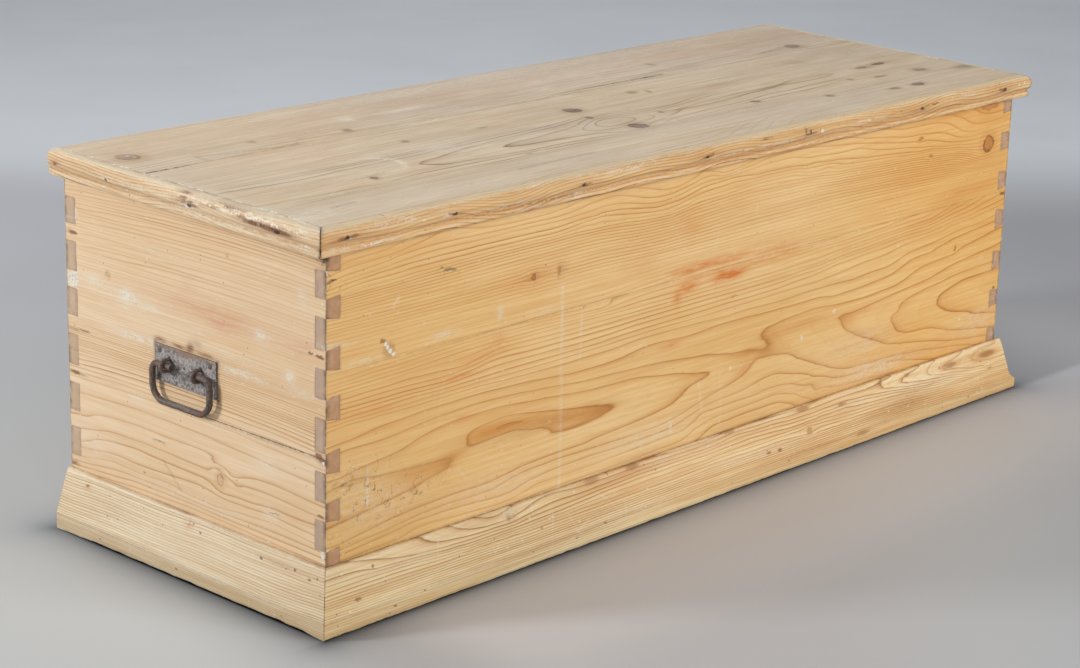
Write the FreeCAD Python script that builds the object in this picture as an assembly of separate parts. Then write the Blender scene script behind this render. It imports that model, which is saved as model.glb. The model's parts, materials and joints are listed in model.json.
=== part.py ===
import FreeCAD, Part
import os, math

# Blanket chest in pine: dovetailed carcase, splayed plinth, moulded lid on two
# butt hinges, and an iron drop handle on each end. Millimetres, +Z up, front at -Y.
# Origin: the middle of the whole chest's footprint, on the floor.

os.makedirs("parts", exist_ok=True)
V = FreeCAD.Vector

# ------------------------------------------------------------------ dimensions
CARCASE_L = 1393.0        # carcase length, end face to end face
CARCASE_D = 485.0         # carcase depth, front face to back face
CARCASE_Z0 = 30.0         # bottom edge of the dovetailed sides
CARCASE_Z1 = 474.0        # top edge of the dovetailed sides
Y_SHIFT = 8.4             # carcase middle from the footprint's middle (plinth at front only)

FRONT_T = 18.5            # front boards
BACK_T = 21.0             # back boards
END_T = 22.0              # end boards
FRONT_JOINT_Z = 314.0     # edge joint between the two front boards
BACK_JOINT_Z = 238.0
LEFT_JOINT_Z = 211.5
RIGHT_JOINT_Z = 262.0

# tails, as z ranges at the board's end; the pins of the end boards fill between
TAILS = [(404.0, 438.0), (343.0, 381.5), (284.0, 320.0), (218.5, 259.5),
         (157.5, 194.5), (97.0, 135.0), (46.0, 78.5)]
TAIL_SLOPE = 1.0 / 8.0

BOTTOM_T = 18.0           # bottom boards, nailed up under the sides
BOTTOM_SPLIT = (-84.0, 78.0)
BEARER_W, BEARER_T = 62.0, 12.0
BEARER_X = (-560.0, 0.0, 560.0)

PLINTH_H = 79.0           # splayed plinth
PLINTH_FOOT_H = 21.7      # upright foot of the plinth
PLINTH_FOOT_P = 26.4      # projection of the foot
PLINTH_TOP_P = 5.4        # projection of the thin top edge

LID_T = 18.0
LID_X = (-706.0, 700.5)   # lid boards, left and right ends
LID_Y = (-244.5, 242.5)   # lid boards, front and back edges
LID_JOINT_Y = 70.0
LID_RISE = 9.2            # the lid stands this much higher at the back than at the front
LID_TILT = math.degrees(math.atan2(LID_RISE, CARCASE_D))
MOULD_T = 16.5            # lid moulding thickness and height
MOULD_H = 33.5

HINGE_X = (-455.0, 455.0) # butt hinges
HINGE_L = 76.0
LEAF_T = 4.0
LEAF_W = 24.0
KNUCKLE_R = 4.6
PIN_R = 2.3
PIN_CLEAR = 0.06
HINGE_Y = CARCASE_D / 2 + 5.0
HINGE_Z = CARCASE_Z1 + 4.8

PLATE_YC = 7.5            # handle: middle of the back plate along the end
PLATE_ZC = 262.4
PLATE_W, PLATE_H, PLATE_T = 116.0, 47.6, 2.6
BAR_R = 4.1               # bail bar
PIVOT_Z = 263.5
PIVOT_OUT = 9.5           # pivot axis out from the end face
ARM_DY = 54.0             # bail arms from the middle
TIP_DY = 17.0             # inner tips of the in-turned ends
BAIL_DROP = 46.5
EYE_DY = 29.5             # staples from the middle
EYE_R = 7.2               # staple bend, to the wire's middle
EYE_WIRE_R = 2.4

XL, XR = -CARCASE_L / 2, CARCASE_L / 2
YF, YB = -CARCASE_D / 2, CARCASE_D / 2
Z0, Z1 = CARCASE_Z0, CARCASE_Z1

nodes = {}


def box(x0, x1, y0, y1, z0, z1):
    return Part.makeBox(x1 - x0, y1 - y0, z1 - z0, V(x0, y0, z0))


def prism(points, vec):
    face = Part.Face(Part.makePolygon([V(*p) for p in points] + [V(*points[0])]))
    return face.extrude(V(*vec))


def cyl(p, d, r, h):
    return Part.makeCylinder(r, h, V(*p), V(*d))


def group(shapes):
    return Part.makeCompound(shapes)


def cut_all(shape, tools):
    for t in tools:
        shape = shape.cut(t)
    return shape


def one(shape):
    """The single solid of a boolean result."""
    s = shape.removeSplitter()
    if len(s.Solids) != 1:
        raise RuntimeError("expected one solid, got %d" % len(s.Solids))
    return s.Solids[0]


# ------------------------------------------------------------------ dovetails
def tail_solids(x_out, x_in, y0, y1):
    """Tails of one corner: wide at the outer face, narrower inside."""
    out = []
    s = END_T * TAIL_SLOPE
    for a, b in TAILS:
        out.append(prism([(x_out, y0, a), (x_in, y0, a + s), (x_in, y0, b - s), (x_out, y0, b)],
                         (0, y1 - y0, 0)))
    return out


def side_panel(y0, y1):
    """Front or back: the plain middle with tails at both ends."""
    core = box(XL + END_T, XR - END_T, y0, y1, Z0, Z1)
    shape = core.multiFuse(tail_solids(XL, XL + END_T, y0, y1) + tail_solids(XR, XR - END_T, y0, y1))
    return shape.removeSplitter()


def end_panel(x_out, x_in):
    """End: full depth, with sockets for the tails of the front and the back."""
    shape = box(min(x_out, x_in), max(x_out, x_in), YF, YB, Z0, Z1)
    tools = tail_solids(x_out, x_in, YF, YF + FRONT_T) + tail_solids(x_out, x_in, YB - BACK_T, YB)
    return cut_all(shape, tools).removeSplitter()


def split_z(shape, z):
    lo = shape.common(box(-900, 900, -400, 400, -10, z))
    hi = shape.common(box(-900, 900, -400, 400, z, 600))
    return lo, hi


front_lo, front_hi = split_z(side_panel(YF, YF + FRONT_T), FRONT_JOINT_Z)
back_lo, back_hi = split_z(side_panel(YB - BACK_T, YB), BACK_JOINT_Z)
left_lo, left_hi = split_z(end_panel(XL, XL + END_T), LEFT_JOINT_Z)
right_lo, right_hi = split_z(end_panel(XR, XR - END_T), RIGHT_JOINT_Z)

# ------------------------------------------------------------------ bottom and bearers
bz0, bz1 = Z0 - BOTTOM_T, Z0
bottoms = [box(XL, XR, YF, BOTTOM_SPLIT[0], bz0, bz1),
           box(XL, XR, BOTTOM_SPLIT[0], BOTTOM_SPLIT[1], bz0, bz1),
           box(XL, XR, BOTTOM_SPLIT[1], YB, bz0, bz1)]
bearers = [box(x - BEARER_W / 2, x + BEARER_W / 2, YF, YB, 0, BEARER_T) for x in BEARER_X]

# ------------------------------------------------------------------ plinth
PP = [(0, 0), (PLINTH_FOOT_P, 0), (PLINTH_FOOT_P, PLINTH_FOOT_H), (PLINTH_TOP_P + 1.2, PLINTH_H - 0.8),
      (PLINTH_TOP_P, PLINTH_H), (0, PLINTH_H)]


def plinth_run_x():
    s = prism([(XL - 40, YF - p, z) for p, z in PP], (CARCASE_L + 80, 0, 0))
    m = 60.0
    keep = prism([(XL, YF, -5), (XL - m, YF - m, -5), (XR + m, YF - m, -5), (XR, YF, -5)], (0, 0, 120))
    return one(s.common(keep))


def plinth_run_y(sign):
    xe = XL if sign < 0 else XR
    s = prism([(xe + sign * p, YF - 40, z) for p, z in PP], (0, CARCASE_D + 40, 0))
    m = 60.0
    keep = prism([(xe, YF, -5), (xe + sign * m, YF - m, -5), (xe + sign * m, YB, -5), (xe, YB, -5)], (0, 0, 120))
    return one(s.common(keep))


plinth_front = plinth_run_x()
plinth_left = plinth_run_y(-1)
plinth_right = plinth_run_y(+1)

# ------------------------------------------------------------------ lid, built level then tilted
lz0, lz1 = Z1, Z1 + LID_T
lid_front = box(LID_X[0], LID_X[1], LID_Y[0], LID_JOINT_Y, lz0, lz1)
lid_back = box(LID_X[0], LID_X[1], LID_JOINT_Y, LID_Y[1], lz0, lz1)
mz0 = lz1 - MOULD_H


def mould_wire(place):
    """Section of the lid moulding: lower bead, hollow, large nose; p outwards, h up."""
    T, H = MOULD_T, MOULD_H

    def P(p, h):
        return place(p, h)
    e = []

    def line(a, b):
        e.append(Part.makeLine(P(*a), P(*b)))

    def arc(a, m, b):
        e.append(Part.Arc(P(*a), P(*m), P(*b)).toShape())
    line((0, 0), (T - 6.3, 0))
    arc((T - 6.3, 0), (T - 3.2, 1.7), (T - 2.6, 4.6))
    arc((T - 2.6, 4.6), (T - 3.0, 7.0), (T - 4.2, 8.4))
    arc((T - 4.2, 8.4), (T - 4.6, 10.6), (T - 3.6, 12.4))
    line((T - 3.6, 12.4), (T - 1.9, 13.4))
    arc((T - 1.9, 13.4), (T, 20.4), (T - 1.9, 27.6))
    arc((T - 1.9, 27.6), (T - 4.6, 31.6), (T - 9.2, H))
    line((T - 9.2, H), (0, H))
    line((0, H), (0, 0))
    return Part.Wire(e)


def mould_front():
    yi = LID_Y[0]
    w = mould_wire(lambda p, h: V(LID_X[0] - 30, yi - p, mz0 + h))
    s = Part.Face(w).extrude(V(LID_X[1] - LID_X[0] + 60, 0, 0))
    m = 40.0
    keep = prism([(LID_X[0], yi, mz0 - 5), (LID_X[0] - m, yi - m, mz0 - 5), (LID_X[1] + m, yi - m, mz0 - 5),
                  (LID_X[1], yi, mz0 - 5)], (0, 0, 60))
    return one(s.common(keep))


def mould_end(sign):
    xi = LID_X[0] if sign < 0 else LID_X[1]
    yi = LID_Y[0]
    w = mould_wire(lambda p, h: V(xi + sign * p, yi - 30, mz0 + h))
    s = Part.Face(w).extrude(V(0, LID_Y[1] - yi + 30, 0))
    m = 40.0
    keep = prism([(xi, yi, mz0 - 5), (xi + sign * m, yi - m, mz0 - 5), (xi + sign * m, LID_Y[1], mz0 - 5),
                  (xi, LID_Y[1], mz0 - 5)], (0, 0, 60))
    return one(s.common(keep))


mould_f = mould_front()
mould_l = mould_end(-1)
mould_r = mould_end(+1)


# ------------------------------------------------------------------ cut nails
def nail(p, d, length, head=(5.0, 2.6, 0.9), shank=(2.6, 2.0), tip=(1.2, 1.4), side=None):
    """Cut nail: flat oblong head with its outer face at p, tapering shank along d."""
    d = V(*d).normalize() if not isinstance(d, FreeCAD.Vector) else d.normalize()
    u = V(*side) if side else (V(0, 0, 1) if abs(d.z) < 0.9 else V(1, 0, 0))
    u = (u - d * u.dot(d)).normalize()
    w = d.cross(u)
    p = V(*p)

    def ring(at, a, b):
        c = p + d * at
        return [c + u * (a / 2) + w * (b / 2), c - u * (a / 2) + w * (b / 2),
                c - u * (a / 2) - w * (b / 2), c + u * (a / 2) - w * (b / 2)]

    def loft(r0, r1):
        faces = [Part.Face(Part.makePolygon(r0 + [r0[0]])), Part.Face(Part.makePolygon(r1 + [r1[0]]))]
        for i in range(4):
            j = (i + 1) % 4
            faces.append(Part.Face(Part.makePolygon([r0[i], r0[j], r1[j], r1[i], r0[i]])))
        return Part.Solid(Part.Shell(faces))
    h = loft(ring(0, head[0], head[1]), ring(head[2], head[0], head[1]))
    s = loft(ring(head[2] * 0.5, shank[0], shank[1]), ring(length, tip[0], tip[1]))
    f = h.fuse(s).removeSplitter().Solids[0]
    return f


def tilt(shape):
    """Turn a level lid piece to its closed place: front edge down, back edge raised."""
    s = shape.copy()
    s.rotate(V(0, YF, Z1), V(1, 0, 0), LID_TILT)
    return s


# moulding nails, in the level lid frame; heads sunk just under the nose, mouths open
nz = mz0 + 19.2
MN_SINK = 0.9
MN_HEAD = (3.6, 2.8, 1.2)
mould_nails = []
mould_mouths = []
for x in (-680, -509, -284, -46, 174, 434, 645):
    yo = LID_Y[0] - MOULD_T + MN_SINK
    mould_nails.append(nail((x, yo, nz), (0, 1, 0), 44, side=(0, 0, 1), head=MN_HEAD))
    mould_mouths.append(box(x - MN_HEAD[1] / 2, x + MN_HEAD[1] / 2, yo - 6, yo, nz - MN_HEAD[0] / 2, nz + MN_HEAD[0] / 2))
for y in (226, 125, -33, -188):
    xo = LID_X[0] - MOULD_T + MN_SINK
    mould_nails.append(nail((xo, y, nz), (1, 0, 0), 44, side=(0, 0, 1), head=MN_HEAD))
    mould_mouths.append(box(xo - 6, xo, y - MN_HEAD[1] / 2, y + MN_HEAD[1] / 2, nz - MN_HEAD[0] / 2, nz + MN_HEAD[0] / 2))
for y in (214, 78, -62, -196):
    xo = LID_X[1] + MOULD_T - MN_SINK
    mould_nails.append(nail((xo, y, nz), (-1, 0, 0), 44, side=(0, 0, 1), head=MN_HEAD))
    mould_mouths.append(box(xo, xo + 6, y - MN_HEAD[1] / 2, y + MN_HEAD[1] / 2, nz - MN_HEAD[0] / 2, nz + MN_HEAD[0] / 2))
mould_f = cut_all(mould_f, mould_nails[:7] + mould_mouths[:7])
mould_l = cut_all(mould_l, mould_nails[7:11] + mould_mouths[7:11])
mould_r = cut_all(mould_r, mould_nails[11:] + mould_mouths[11:])
lid_front = cut_all(lid_front, mould_nails)
lid_back = cut_all(lid_back, mould_nails)

# plinth nails, driven level through the splay into the carcase
plinth_nails = []


def plinth_p(z):
    if z <= PLINTH_FOOT_H:
        return PLINTH_FOOT_P
    t = (z - PLINTH_FOOT_H) / (PLINTH_H - PLINTH_FOOT_H)
    return PLINTH_FOOT_P + t * (PLINTH_TOP_P - PLINTH_FOOT_P)


def pnail(x, y, z, d):
    p = plinth_p(z)
    sink = 2.2 if z > PLINTH_FOOT_H else 0.0
    if d[1] > 0:
        return nail((x, YF - p + sink, z), d, p + 22, head=(3.0, 2.6, 1.0))
    if d[0] > 0:
        return nail((XL - p + sink, y, z), d, p + 22, head=(3.0, 2.6, 1.0))
    return nail((XR + p - sink, y, z), d, p + 22, head=(3.0, 2.6, 1.0))


for x, z in ((-632, 66), (-397, 66), (-140, 65), (110, 66), (372, 65), (640, 66),
             (-608, 38), (-345, 41), (209, 42), (520, 40)):
    plinth_nails.append(pnail(x, 0, z, (0, 1, 0)))
n_front = len(plinth_nails)
for y, z in ((194, 66), (83, 66), (-142, 65), (-202, 66)):
    plinth_nails.append(pnail(0, y, z, (1, 0, 0)))
n_left = len(plinth_nails)
for y, z in ((196, 66), (60, 65), (-86, 66), (-205, 65)):
    plinth_nails.append(pnail(0, y, z, (-1, 0, 0)))


# the mouth of each sunk nail stays open
def mouth(x, y, z, d):
    p = plinth_p(z)
    a, b = 3.0, 2.6
    if d[1] > 0:
        return box(x - b / 2, x + b / 2, YF - p - 6, YF - p + 2.2, z - a / 2, z + a / 2)
    if d[0] > 0:
        return box(XL - p - 6, XL - p + 2.2, y - b / 2, y + b / 2, z - a / 2, z + a / 2)
    return box(XR + p - 2.2, XR + p + 6, y - b / 2, y + b / 2, z - a / 2, z + a / 2)


mouths_f = [mouth(x, 0, z, (0, 1, 0)) for x, z in ((-632, 66), (-397, 66), (-140, 65), (110, 66), (372, 65), (640, 66),
                                                  (-608, 38), (-345, 41), (209, 42), (520, 40))]
mouths_l = [mouth(0, y, z, (1, 0, 0)) for y, z in ((194, 66), (83, 66), (-142, 65), (-202, 66))]
mouths_r = [mouth(0, y, z, (-1, 0, 0)) for y, z in ((196, 66), (60, 65), (-86, 66), (-205, 65))]
plinth_front = cut_all(plinth_front, plinth_nails[:n_front] + mouths_f)
plinth_left = cut_all(plinth_left, plinth_nails[n_front:n_left] + mouths_l)
plinth_right = cut_all(plinth_right, plinth_nails[n_left:] + mouths_r)

# bottom nails, up through the bottom boards into the sides
bottom_nails = []
for x in (-660, -480, -290, -100, 100, 290, 480, 660):
    bottom_nails.append(nail((x, YF + FRONT_T / 2, bz0), (0, 0, 1), 52, side=(1, 0, 0)))
    bottom_nails.append(nail((x, YB - BACK_T / 2, bz0), (0, 0, 1), 52, side=(1, 0, 0)))
for y in (-150, -40, 40, 150):
    bottom_nails.append(nail((XL + END_T / 2, y, bz0), (0, 0, 1), 52, side=(0, 1, 0)))
    bottom_nails.append(nail((XR - END_T / 2, y, bz0), (0, 0, 1), 52, side=(0, 1, 0)))

# bearer nails, heads sunk a little so the bearers stand flat
bearer_nails = []
bearer_pits = []
for x in BEARER_X:
    for y in (-196, -120, -20, 20, 116, 196):
        xo = x + (12 if (y // 10) % 2 else -12)
        bearer_nails.append(nail((xo, y, 1.0), (0, 0, 1), 25, side=(1, 0, 0), head=(4.0, 2.6, 0.9)))
        bearer_pits.append(box(xo - 2.0, xo + 2.0, y - 1.3, y + 1.3, -1, 1.0))
bearers = [cut_all(b, [n for n in bearer_nails + bearer_pits if n.BoundBox.intersect(b.BoundBox)]) for b in bearers]


def cut_near(shape, tools):
    return cut_all(shape, [t for t in tools if t.BoundBox.intersect(shape.BoundBox)])


bottoms = [cut_near(b, bottom_nails + bearer_nails) for b in bottoms]
wood_nails = bottom_nails + plinth_nails

# ------------------------------------------------------------------ hinges
hinges = {}
case_screws, lid_screws = [], []
case_screw_holes, lid_screw_holes = [], []


def screw(p, d, length=19.0, head_r=4.0, shank_r=2.1, grow=0.0, slot_dir=(1, 0, 0), slot=True):
    """Slotted countersunk wood screw, head face at p, point along d."""
    d = V(*d).normalize()
    p = V(*p)
    hh = 2.3
    head = Part.makeCone(head_r + grow, shank_r + grow, hh, p, d)
    body = Part.makeCylinder(shank_r + grow, length * 0.55 - hh, p + d * hh, d)
    point = Part.makeCone(shank_r + grow, 0.7 + grow, length * 0.45, p + d * (length * 0.55), d)
    s = head.fuse([body, point]).removeSplitter()
    if slot:
        u = V(*slot_dir)
        u = (u - d * u.dot(d)).normalize()
        w = d.cross(u)
        c = p - d * 1.0
        b = Part.makeBox(12, 0.9, 2.0)
        m = FreeCAD.Matrix(u.x, w.x, d.x, c.x, u.y, w.y, d.y, c.y, u.z, w.z, d.z, c.z, 0, 0, 0, 1)
        b.translate(V(-6, -0.45, 0))
        b = b.transformGeometry(m)
        s = s.cut(b)
    return s.Solids[0]


def hinge(xc, tag):
    n = 5
    gap = 0.35
    seg = HINGE_L / n
    x0 = xc - HINGE_L / 2
    case_k, lid_k, case_bite, lid_bite = [], [], [], []
    for i in range(n):
        a = x0 + i * seg + (gap / 2 if i else 0)
        b = x0 + (i + 1) * seg - (gap / 2 if i < n - 1 else 0)
        k = cyl((a, HINGE_Y, HINGE_Z), (1, 0, 0), KNUCKLE_R, b - a)
        bite = cyl((a - gap if i else a - 1, HINGE_Y, HINGE_Z), (1, 0, 0), KNUCKLE_R + 0.4,
                   (b - a) + (gap if i else 1) + (gap if i < n - 1 else 1))
        if i % 2 == 0:
            case_k.append(k)
            lid_bite.append(bite)
        else:
            lid_k.append(k)
            case_bite.append(bite)
    # case leaf lies flat on the top edge of the back board
    leaf = box(x0, x0 + HINGE_L, YB - LEAF_W + 5, HINGE_Y, Z1, Z1 + LEAF_T)
    leaf = cut_all(leaf, case_bite)
    case = leaf.multiFuse(case_k)
    case = case.cut(cyl((x0 - 1, HINGE_Y, HINGE_Z), (1, 0, 0), PIN_R, HINGE_L + 2))
    # lid leaf lies flat under the tilted lid; made level, then tilted with the lid
    leaf2 = tilt(box(x0, x0 + HINGE_L, YB - LEAF_W + 5, HINGE_Y - 0.2, Z1 - LEAF_T, Z1))
    leaf2 = cut_all(leaf2, lid_bite)
    lid = leaf2.multiFuse(lid_k)
    lid = lid.cut(cyl((x0 - 1, HINGE_Y, HINGE_Z), (1, 0, 0), PIN_R + PIN_CLEAR, HINGE_L + 2))
    pin = cyl((x0 - 1.2, HINGE_Y, HINGE_Z), (1, 0, 0), PIN_R, HINGE_L + 2.4)
    # screws: three in each leaf, staggered between the two leaves
    ys = YB - 12.0
    for dx in (-28.0, 2.0, 28.0):
        p = (xc + dx, ys + (2.0 if dx == 2.0 else 0.0), Z1 + LEAF_T)
        case_screws.append(screw(p, (0, 0, -1), slot_dir=(1, 0.4 * dx / 28, 0)))
        case = case.cut(screw(p, (0, 0, -1), grow=0.08, slot=False))
        case_screw_holes.append(screw(p, (0, 0, -1), grow=0.08, slot=False, length=19.4))
    for dx in (-24.0, -2.0, 24.0):
        p = (xc + dx, ys + (2.0 if dx == -2.0 else 0.0), Z1 - LEAF_T)
        s = screw(p, (0, 0, 1), length=17.0, slot_dir=(1, -0.5, 0))
        h = screw(p, (0, 0, 1), length=17.0, grow=0.08, slot=False)
        lid_screws.append(tilt(s))
        lid = lid.cut(tilt(h))
        lid_screw_holes.append(screw(p, (0, 0, 1), length=17.4, grow=0.08, slot=False))
    hinges["hinge_%s_case_leaf" % tag] = one(case)
    hinges["hinge_%s_lid_leaf" % tag] = one(lid)
    hinges["hinge_%s_pin" % tag] = pin


hinge(HINGE_X[0], "left")
hinge(HINGE_X[1], "right")
back_hi = cut_near(back_hi, case_screw_holes)
lid_back = cut_near(lid_back, lid_screw_holes)


# ------------------------------------------------------------------ handles
def wire_sweep(pts, r):
    """Round bar along straight runs and arcs: ('l', p) or ('a', mid, end)."""
    edges = []
    cur = pts[0]
    for seg in pts[1:]:
        if seg[0] == "l":
            edges.append(Part.makeLine(V(*cur), V(*seg[1])))
            cur = seg[1]
        else:
            edges.append(Part.Arc(V(*cur), V(*seg[1]), V(*seg[2])).toShape())
            cur = seg[2]
    path = Part.Wire(edges)
    t = edges[0].tangentAt(edges[0].FirstParameter)
    prof = Part.Wire([Part.makeCircle(r, V(*pts[0]), t)])
    s = path.makePipeShell([prof], True, True)
    return s


def arc3(c, r, a0, a1, f):
    """Middle and end points of an arc in a plane; f maps (u, v) to 3D, angles in degrees."""
    am = (a0 + a1) / 2
    m = f(c[0] + r * math.cos(math.radians(am)), c[1] + r * math.sin(math.radians(am)))
    e = f(c[0] + r * math.cos(math.radians(a1)), c[1] + r * math.sin(math.radians(a1)))
    return m, e


def bail(sign):
    """Drop bail hanging straight down; u along the chest's depth, v up."""
    xo = (XL if sign < 0 else XR) + sign * PIVOT_OUT

    def f(u, v):
        return (xo, PLATE_YC + u, PIVOT_Z + v)
    rt, rb = 9.5, 21.0
    a = ARM_DY
    p = [f(TIP_DY, 0)]
    p.append(("l", f(a - rt, 0)))
    m, e = arc3((a - rt, -rt), rt, 90, 0, f)
    p.append(("a", m, e))
    p.append(("l", f(a, -BAIL_DROP + rb)))
    m, e = arc3((a - rb, -BAIL_DROP + rb), rb, 0, -90, f)
    p.append(("a", m, e))
    p.append(("l", f(-a + rb, -BAIL_DROP)))
    m, e = arc3((-a + rb, -BAIL_DROP + rb), rb, -90, -180, f)
    p.append(("a", m, e))
    p.append(("l", f(-a, -rt)))
    m, e = arc3((-a + rt, -rt), rt, 180, 90, f)
    p.append(("a", m, e))
    p.append(("l", f(-TIP_DY, 0)))
    return one(wire_sweep(p, BAR_R))


def staple(sign, dy, grow=0.0, leg=16.5):
    """U-shaped eye through the plate, legs into the end board."""
    xe = XL if sign < 0 else XR
    yc = PLATE_YC + dy
    xo = xe + sign * PIVOT_OUT

    def f(u, v):
        return (xo + sign * u, yc, PIVOT_Z + v)
    inner = xe - sign * leg
    p = [(inner, yc, PIVOT_Z + EYE_R), ("l", f(0, EYE_R))]
    m, e = arc3((0, 0), EYE_R, 90, -90, f)
    p.append(("a", m, e))
    p.append(("l", (inner, yc, PIVOT_Z - EYE_R)))
    return one(wire_sweep(p, EYE_WIRE_R + grow))


def staple_legs(sign, dy, grow, extra):
    xe = XL if sign < 0 else XR
    out = []
    for s in (1, -1):
        out.append(cyl((xe + sign * (PLATE_T + 2), PLATE_YC + dy, PIVOT_Z + s * EYE_R), (-sign, 0, 0),
                       EYE_WIRE_R + grow, 16.5 + PLATE_T + 2 + extra))
    return out


def dome_nail(sign, y, z, grow=0.0, head=True):
    """Wrought nail with a low domed head, square shank."""
    xe = XL if sign < 0 else XR
    xf = xe + sign * PLATE_T
    a = 1.6 + grow
    # tapering square shank
    n = 18.0
    r0 = [V(xf + sign * 0.4, y - a, z - a), V(xf + sign * 0.4, y + a, z - a),
          V(xf + sign * 0.4, y + a, z + a), V(xf + sign * 0.4, y - a, z + a)]
    b = 0.6 + grow
    xt = xe - sign * n
    r1 = [V(xt, y - b, z - b), V(xt, y + b, z - b), V(xt, y + b, z + b), V(xt, y - b, z + b)]
    faces = [Part.Face(Part.makePolygon(r0 + [r0[0]])), Part.Face(Part.makePolygon(r1 + [r1[0]]))]
    for i in range(4):
        j = (i + 1) % 4
        faces.append(Part.Face(Part.makePolygon([r0[i], r0[j], r1[j], r1[i], r0[i]])))
    shank = Part.Solid(Part.Shell(faces))
    if shank.Volume < 0:
        shank.reverse()
    if not head:
        return shank
    R, h = 4.2, 1.7
    rs = (R * R + h * h) / (2 * h)
    ball = Part.makeSphere(rs, V(xf + sign * (h - rs), y, z))
    half = box(xf, xf + 10, y - 9, y + 9, z - 9, z + 9) if sign > 0 else box(xf - 10, xf, y - 9, y + 9, z - 9, z + 9)
    dome = ball.common(half)
    return dome.fuse(shank).removeSplitter().Solids[0]


handle_nodes = {}
left_hi_tools, left_lo_tools, right_hi_tools, right_lo_tools = [], [], [], []
for sign, tag in ((-1, "left"), (1, "right")):
    xe = XL if sign < 0 else XR
    x0, x1 = sorted((xe, xe + sign * PLATE_T))
    y0, y1 = PLATE_YC - PLATE_W / 2, PLATE_YC + PLATE_W / 2
    z0, z1 = PLATE_ZC - PLATE_H / 2, PLATE_ZC + PLATE_H / 2
    plate = box(x0, x1, y0, y1, z0, z1)
    es = [e for e in plate.Edges if abs(e.Vertexes[0].Point.x - e.Vertexes[1].Point.x) > 1]
    plate = plate.makeFillet(1.6, es)
    outer = [e for e in plate.Edges if abs(e.CenterOfMass.x - (xe + sign * PLATE_T)) < 1e-6]
    plate = plate.makeChamfer(0.5, outer)
    tools = []
    for dy in (EYE_DY, -EYE_DY):
        plate = cut_all(plate, staple_legs(sign, dy, 0.08, 0))
        tools += staple_legs(sign, dy, 0.05, 0.3)
    nails = []
    for dy in (48.0, -47.0):
        for z in (PLATE_ZC + 16.6, PLATE_ZC - 16.6):
            nails.append(dome_nail(sign, PLATE_YC + dy, z))
            tools.append(dome_nail(sign, PLATE_YC + dy, z, head=False))
    plate = cut_all(plate, [dome_nail(sign, PLATE_YC + dy, z, grow=0.12, head=False)
                            for dy in (48.0, -47.0) for z in (PLATE_ZC + 16.6, PLATE_ZC - 16.6)])
    # spare nail hole near the middle of the plate
    plate = plate.cut(cyl((xe - sign * 1, PLATE_YC + 1.6, PIVOT_Z + 1.4), (sign, 0, 0), 1.7, PLATE_T + 3))
    handle_nodes["handle_%s_plate" % tag] = one(plate)
    handle_nodes["handle_%s_staples" % tag] = group([staple(sign, EYE_DY), staple(sign, -EYE_DY)])
    handle_nodes["handle_%s_bail" % tag] = bail(sign)
    handle_nodes["handle_%s_nails" % tag] = group(nails)
    if sign < 0:
        left_tools = tools
    else:
        right_tools = tools

left_hi = cut_near(cut_near(left_hi, left_tools), wood_nails)
left_lo = cut_near(cut_near(left_lo, left_tools), wood_nails)
right_hi = cut_near(cut_near(right_hi, right_tools), wood_nails)
right_lo = cut_near(cut_near(right_lo, right_tools), wood_nails)
front_lo = cut_near(front_lo, wood_nails)
back_lo = cut_near(back_lo, wood_nails)

# ------------------------------------------------------------------ nodes
nodes["front_board_upper"] = one(front_hi)
nodes["front_board_lower"] = one(front_lo)
nodes["back_board_upper"] = one(back_hi)
nodes["back_board_lower"] = one(back_lo)
nodes["left_end_board_upper"] = one(left_hi)
nodes["left_end_board_lower"] = one(left_lo)
nodes["right_end_board_upper"] = one(right_hi)
nodes["right_end_board_lower"] = one(right_lo)
for nm, s in zip(("bottom_board_front", "bottom_board_middle", "bottom_board_back"), bottoms):
    nodes[nm] = one(s)
for nm, s in zip(("bearer_left", "bearer_middle", "bearer_right"), bearers):
    nodes[nm] = one(s)
nodes["plinth_front"] = one(plinth_front)
nodes["plinth_left"] = one(plinth_left)
nodes["plinth_right"] = one(plinth_right)
nodes["lid_board_front"] = one(tilt(lid_front))
nodes["lid_board_back"] = one(tilt(lid_back))
nodes["lid_moulding_front"] = one(tilt(mould_f))
nodes["lid_moulding_left"] = one(tilt(mould_l))
nodes["lid_moulding_right"] = one(tilt(mould_r))
nodes.update(hinges)
nodes["hinge_case_screws"] = group(case_screws)
nodes["hinge_lid_screws"] = group(lid_screws)
nodes.update(handle_nodes)
nodes["moulding_nails"] = group([tilt(n) for n in mould_nails])
nodes["plinth_nails"] = group(plinth_nails)
nodes["bottom_nails"] = group(bottom_nails)
nodes["bearer_nails"] = group(bearer_nails)

for name, shape in nodes.items():
    s = shape.copy()
    s.translate(V(0, Y_SHIFT, 0))
    if not s.isValid():
        raise RuntimeError("invalid shape: " + name)
    s.exportStep("parts/%s.step" % name)
    bb = s.BoundBox
    print("%-24s solids %2d vol %10.0f  x %8.1f %8.1f  y %8.1f %8.1f  z %7.1f %7.1f" % (
        name, len(s.Solids), s.Volume, bb.XMin, bb.XMax, bb.YMin, bb.YMax, bb.ZMin, bb.ZMax))
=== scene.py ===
import bpy, bmesh, json, math
import numpy as np
from mathutils import Vector, Matrix

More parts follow.
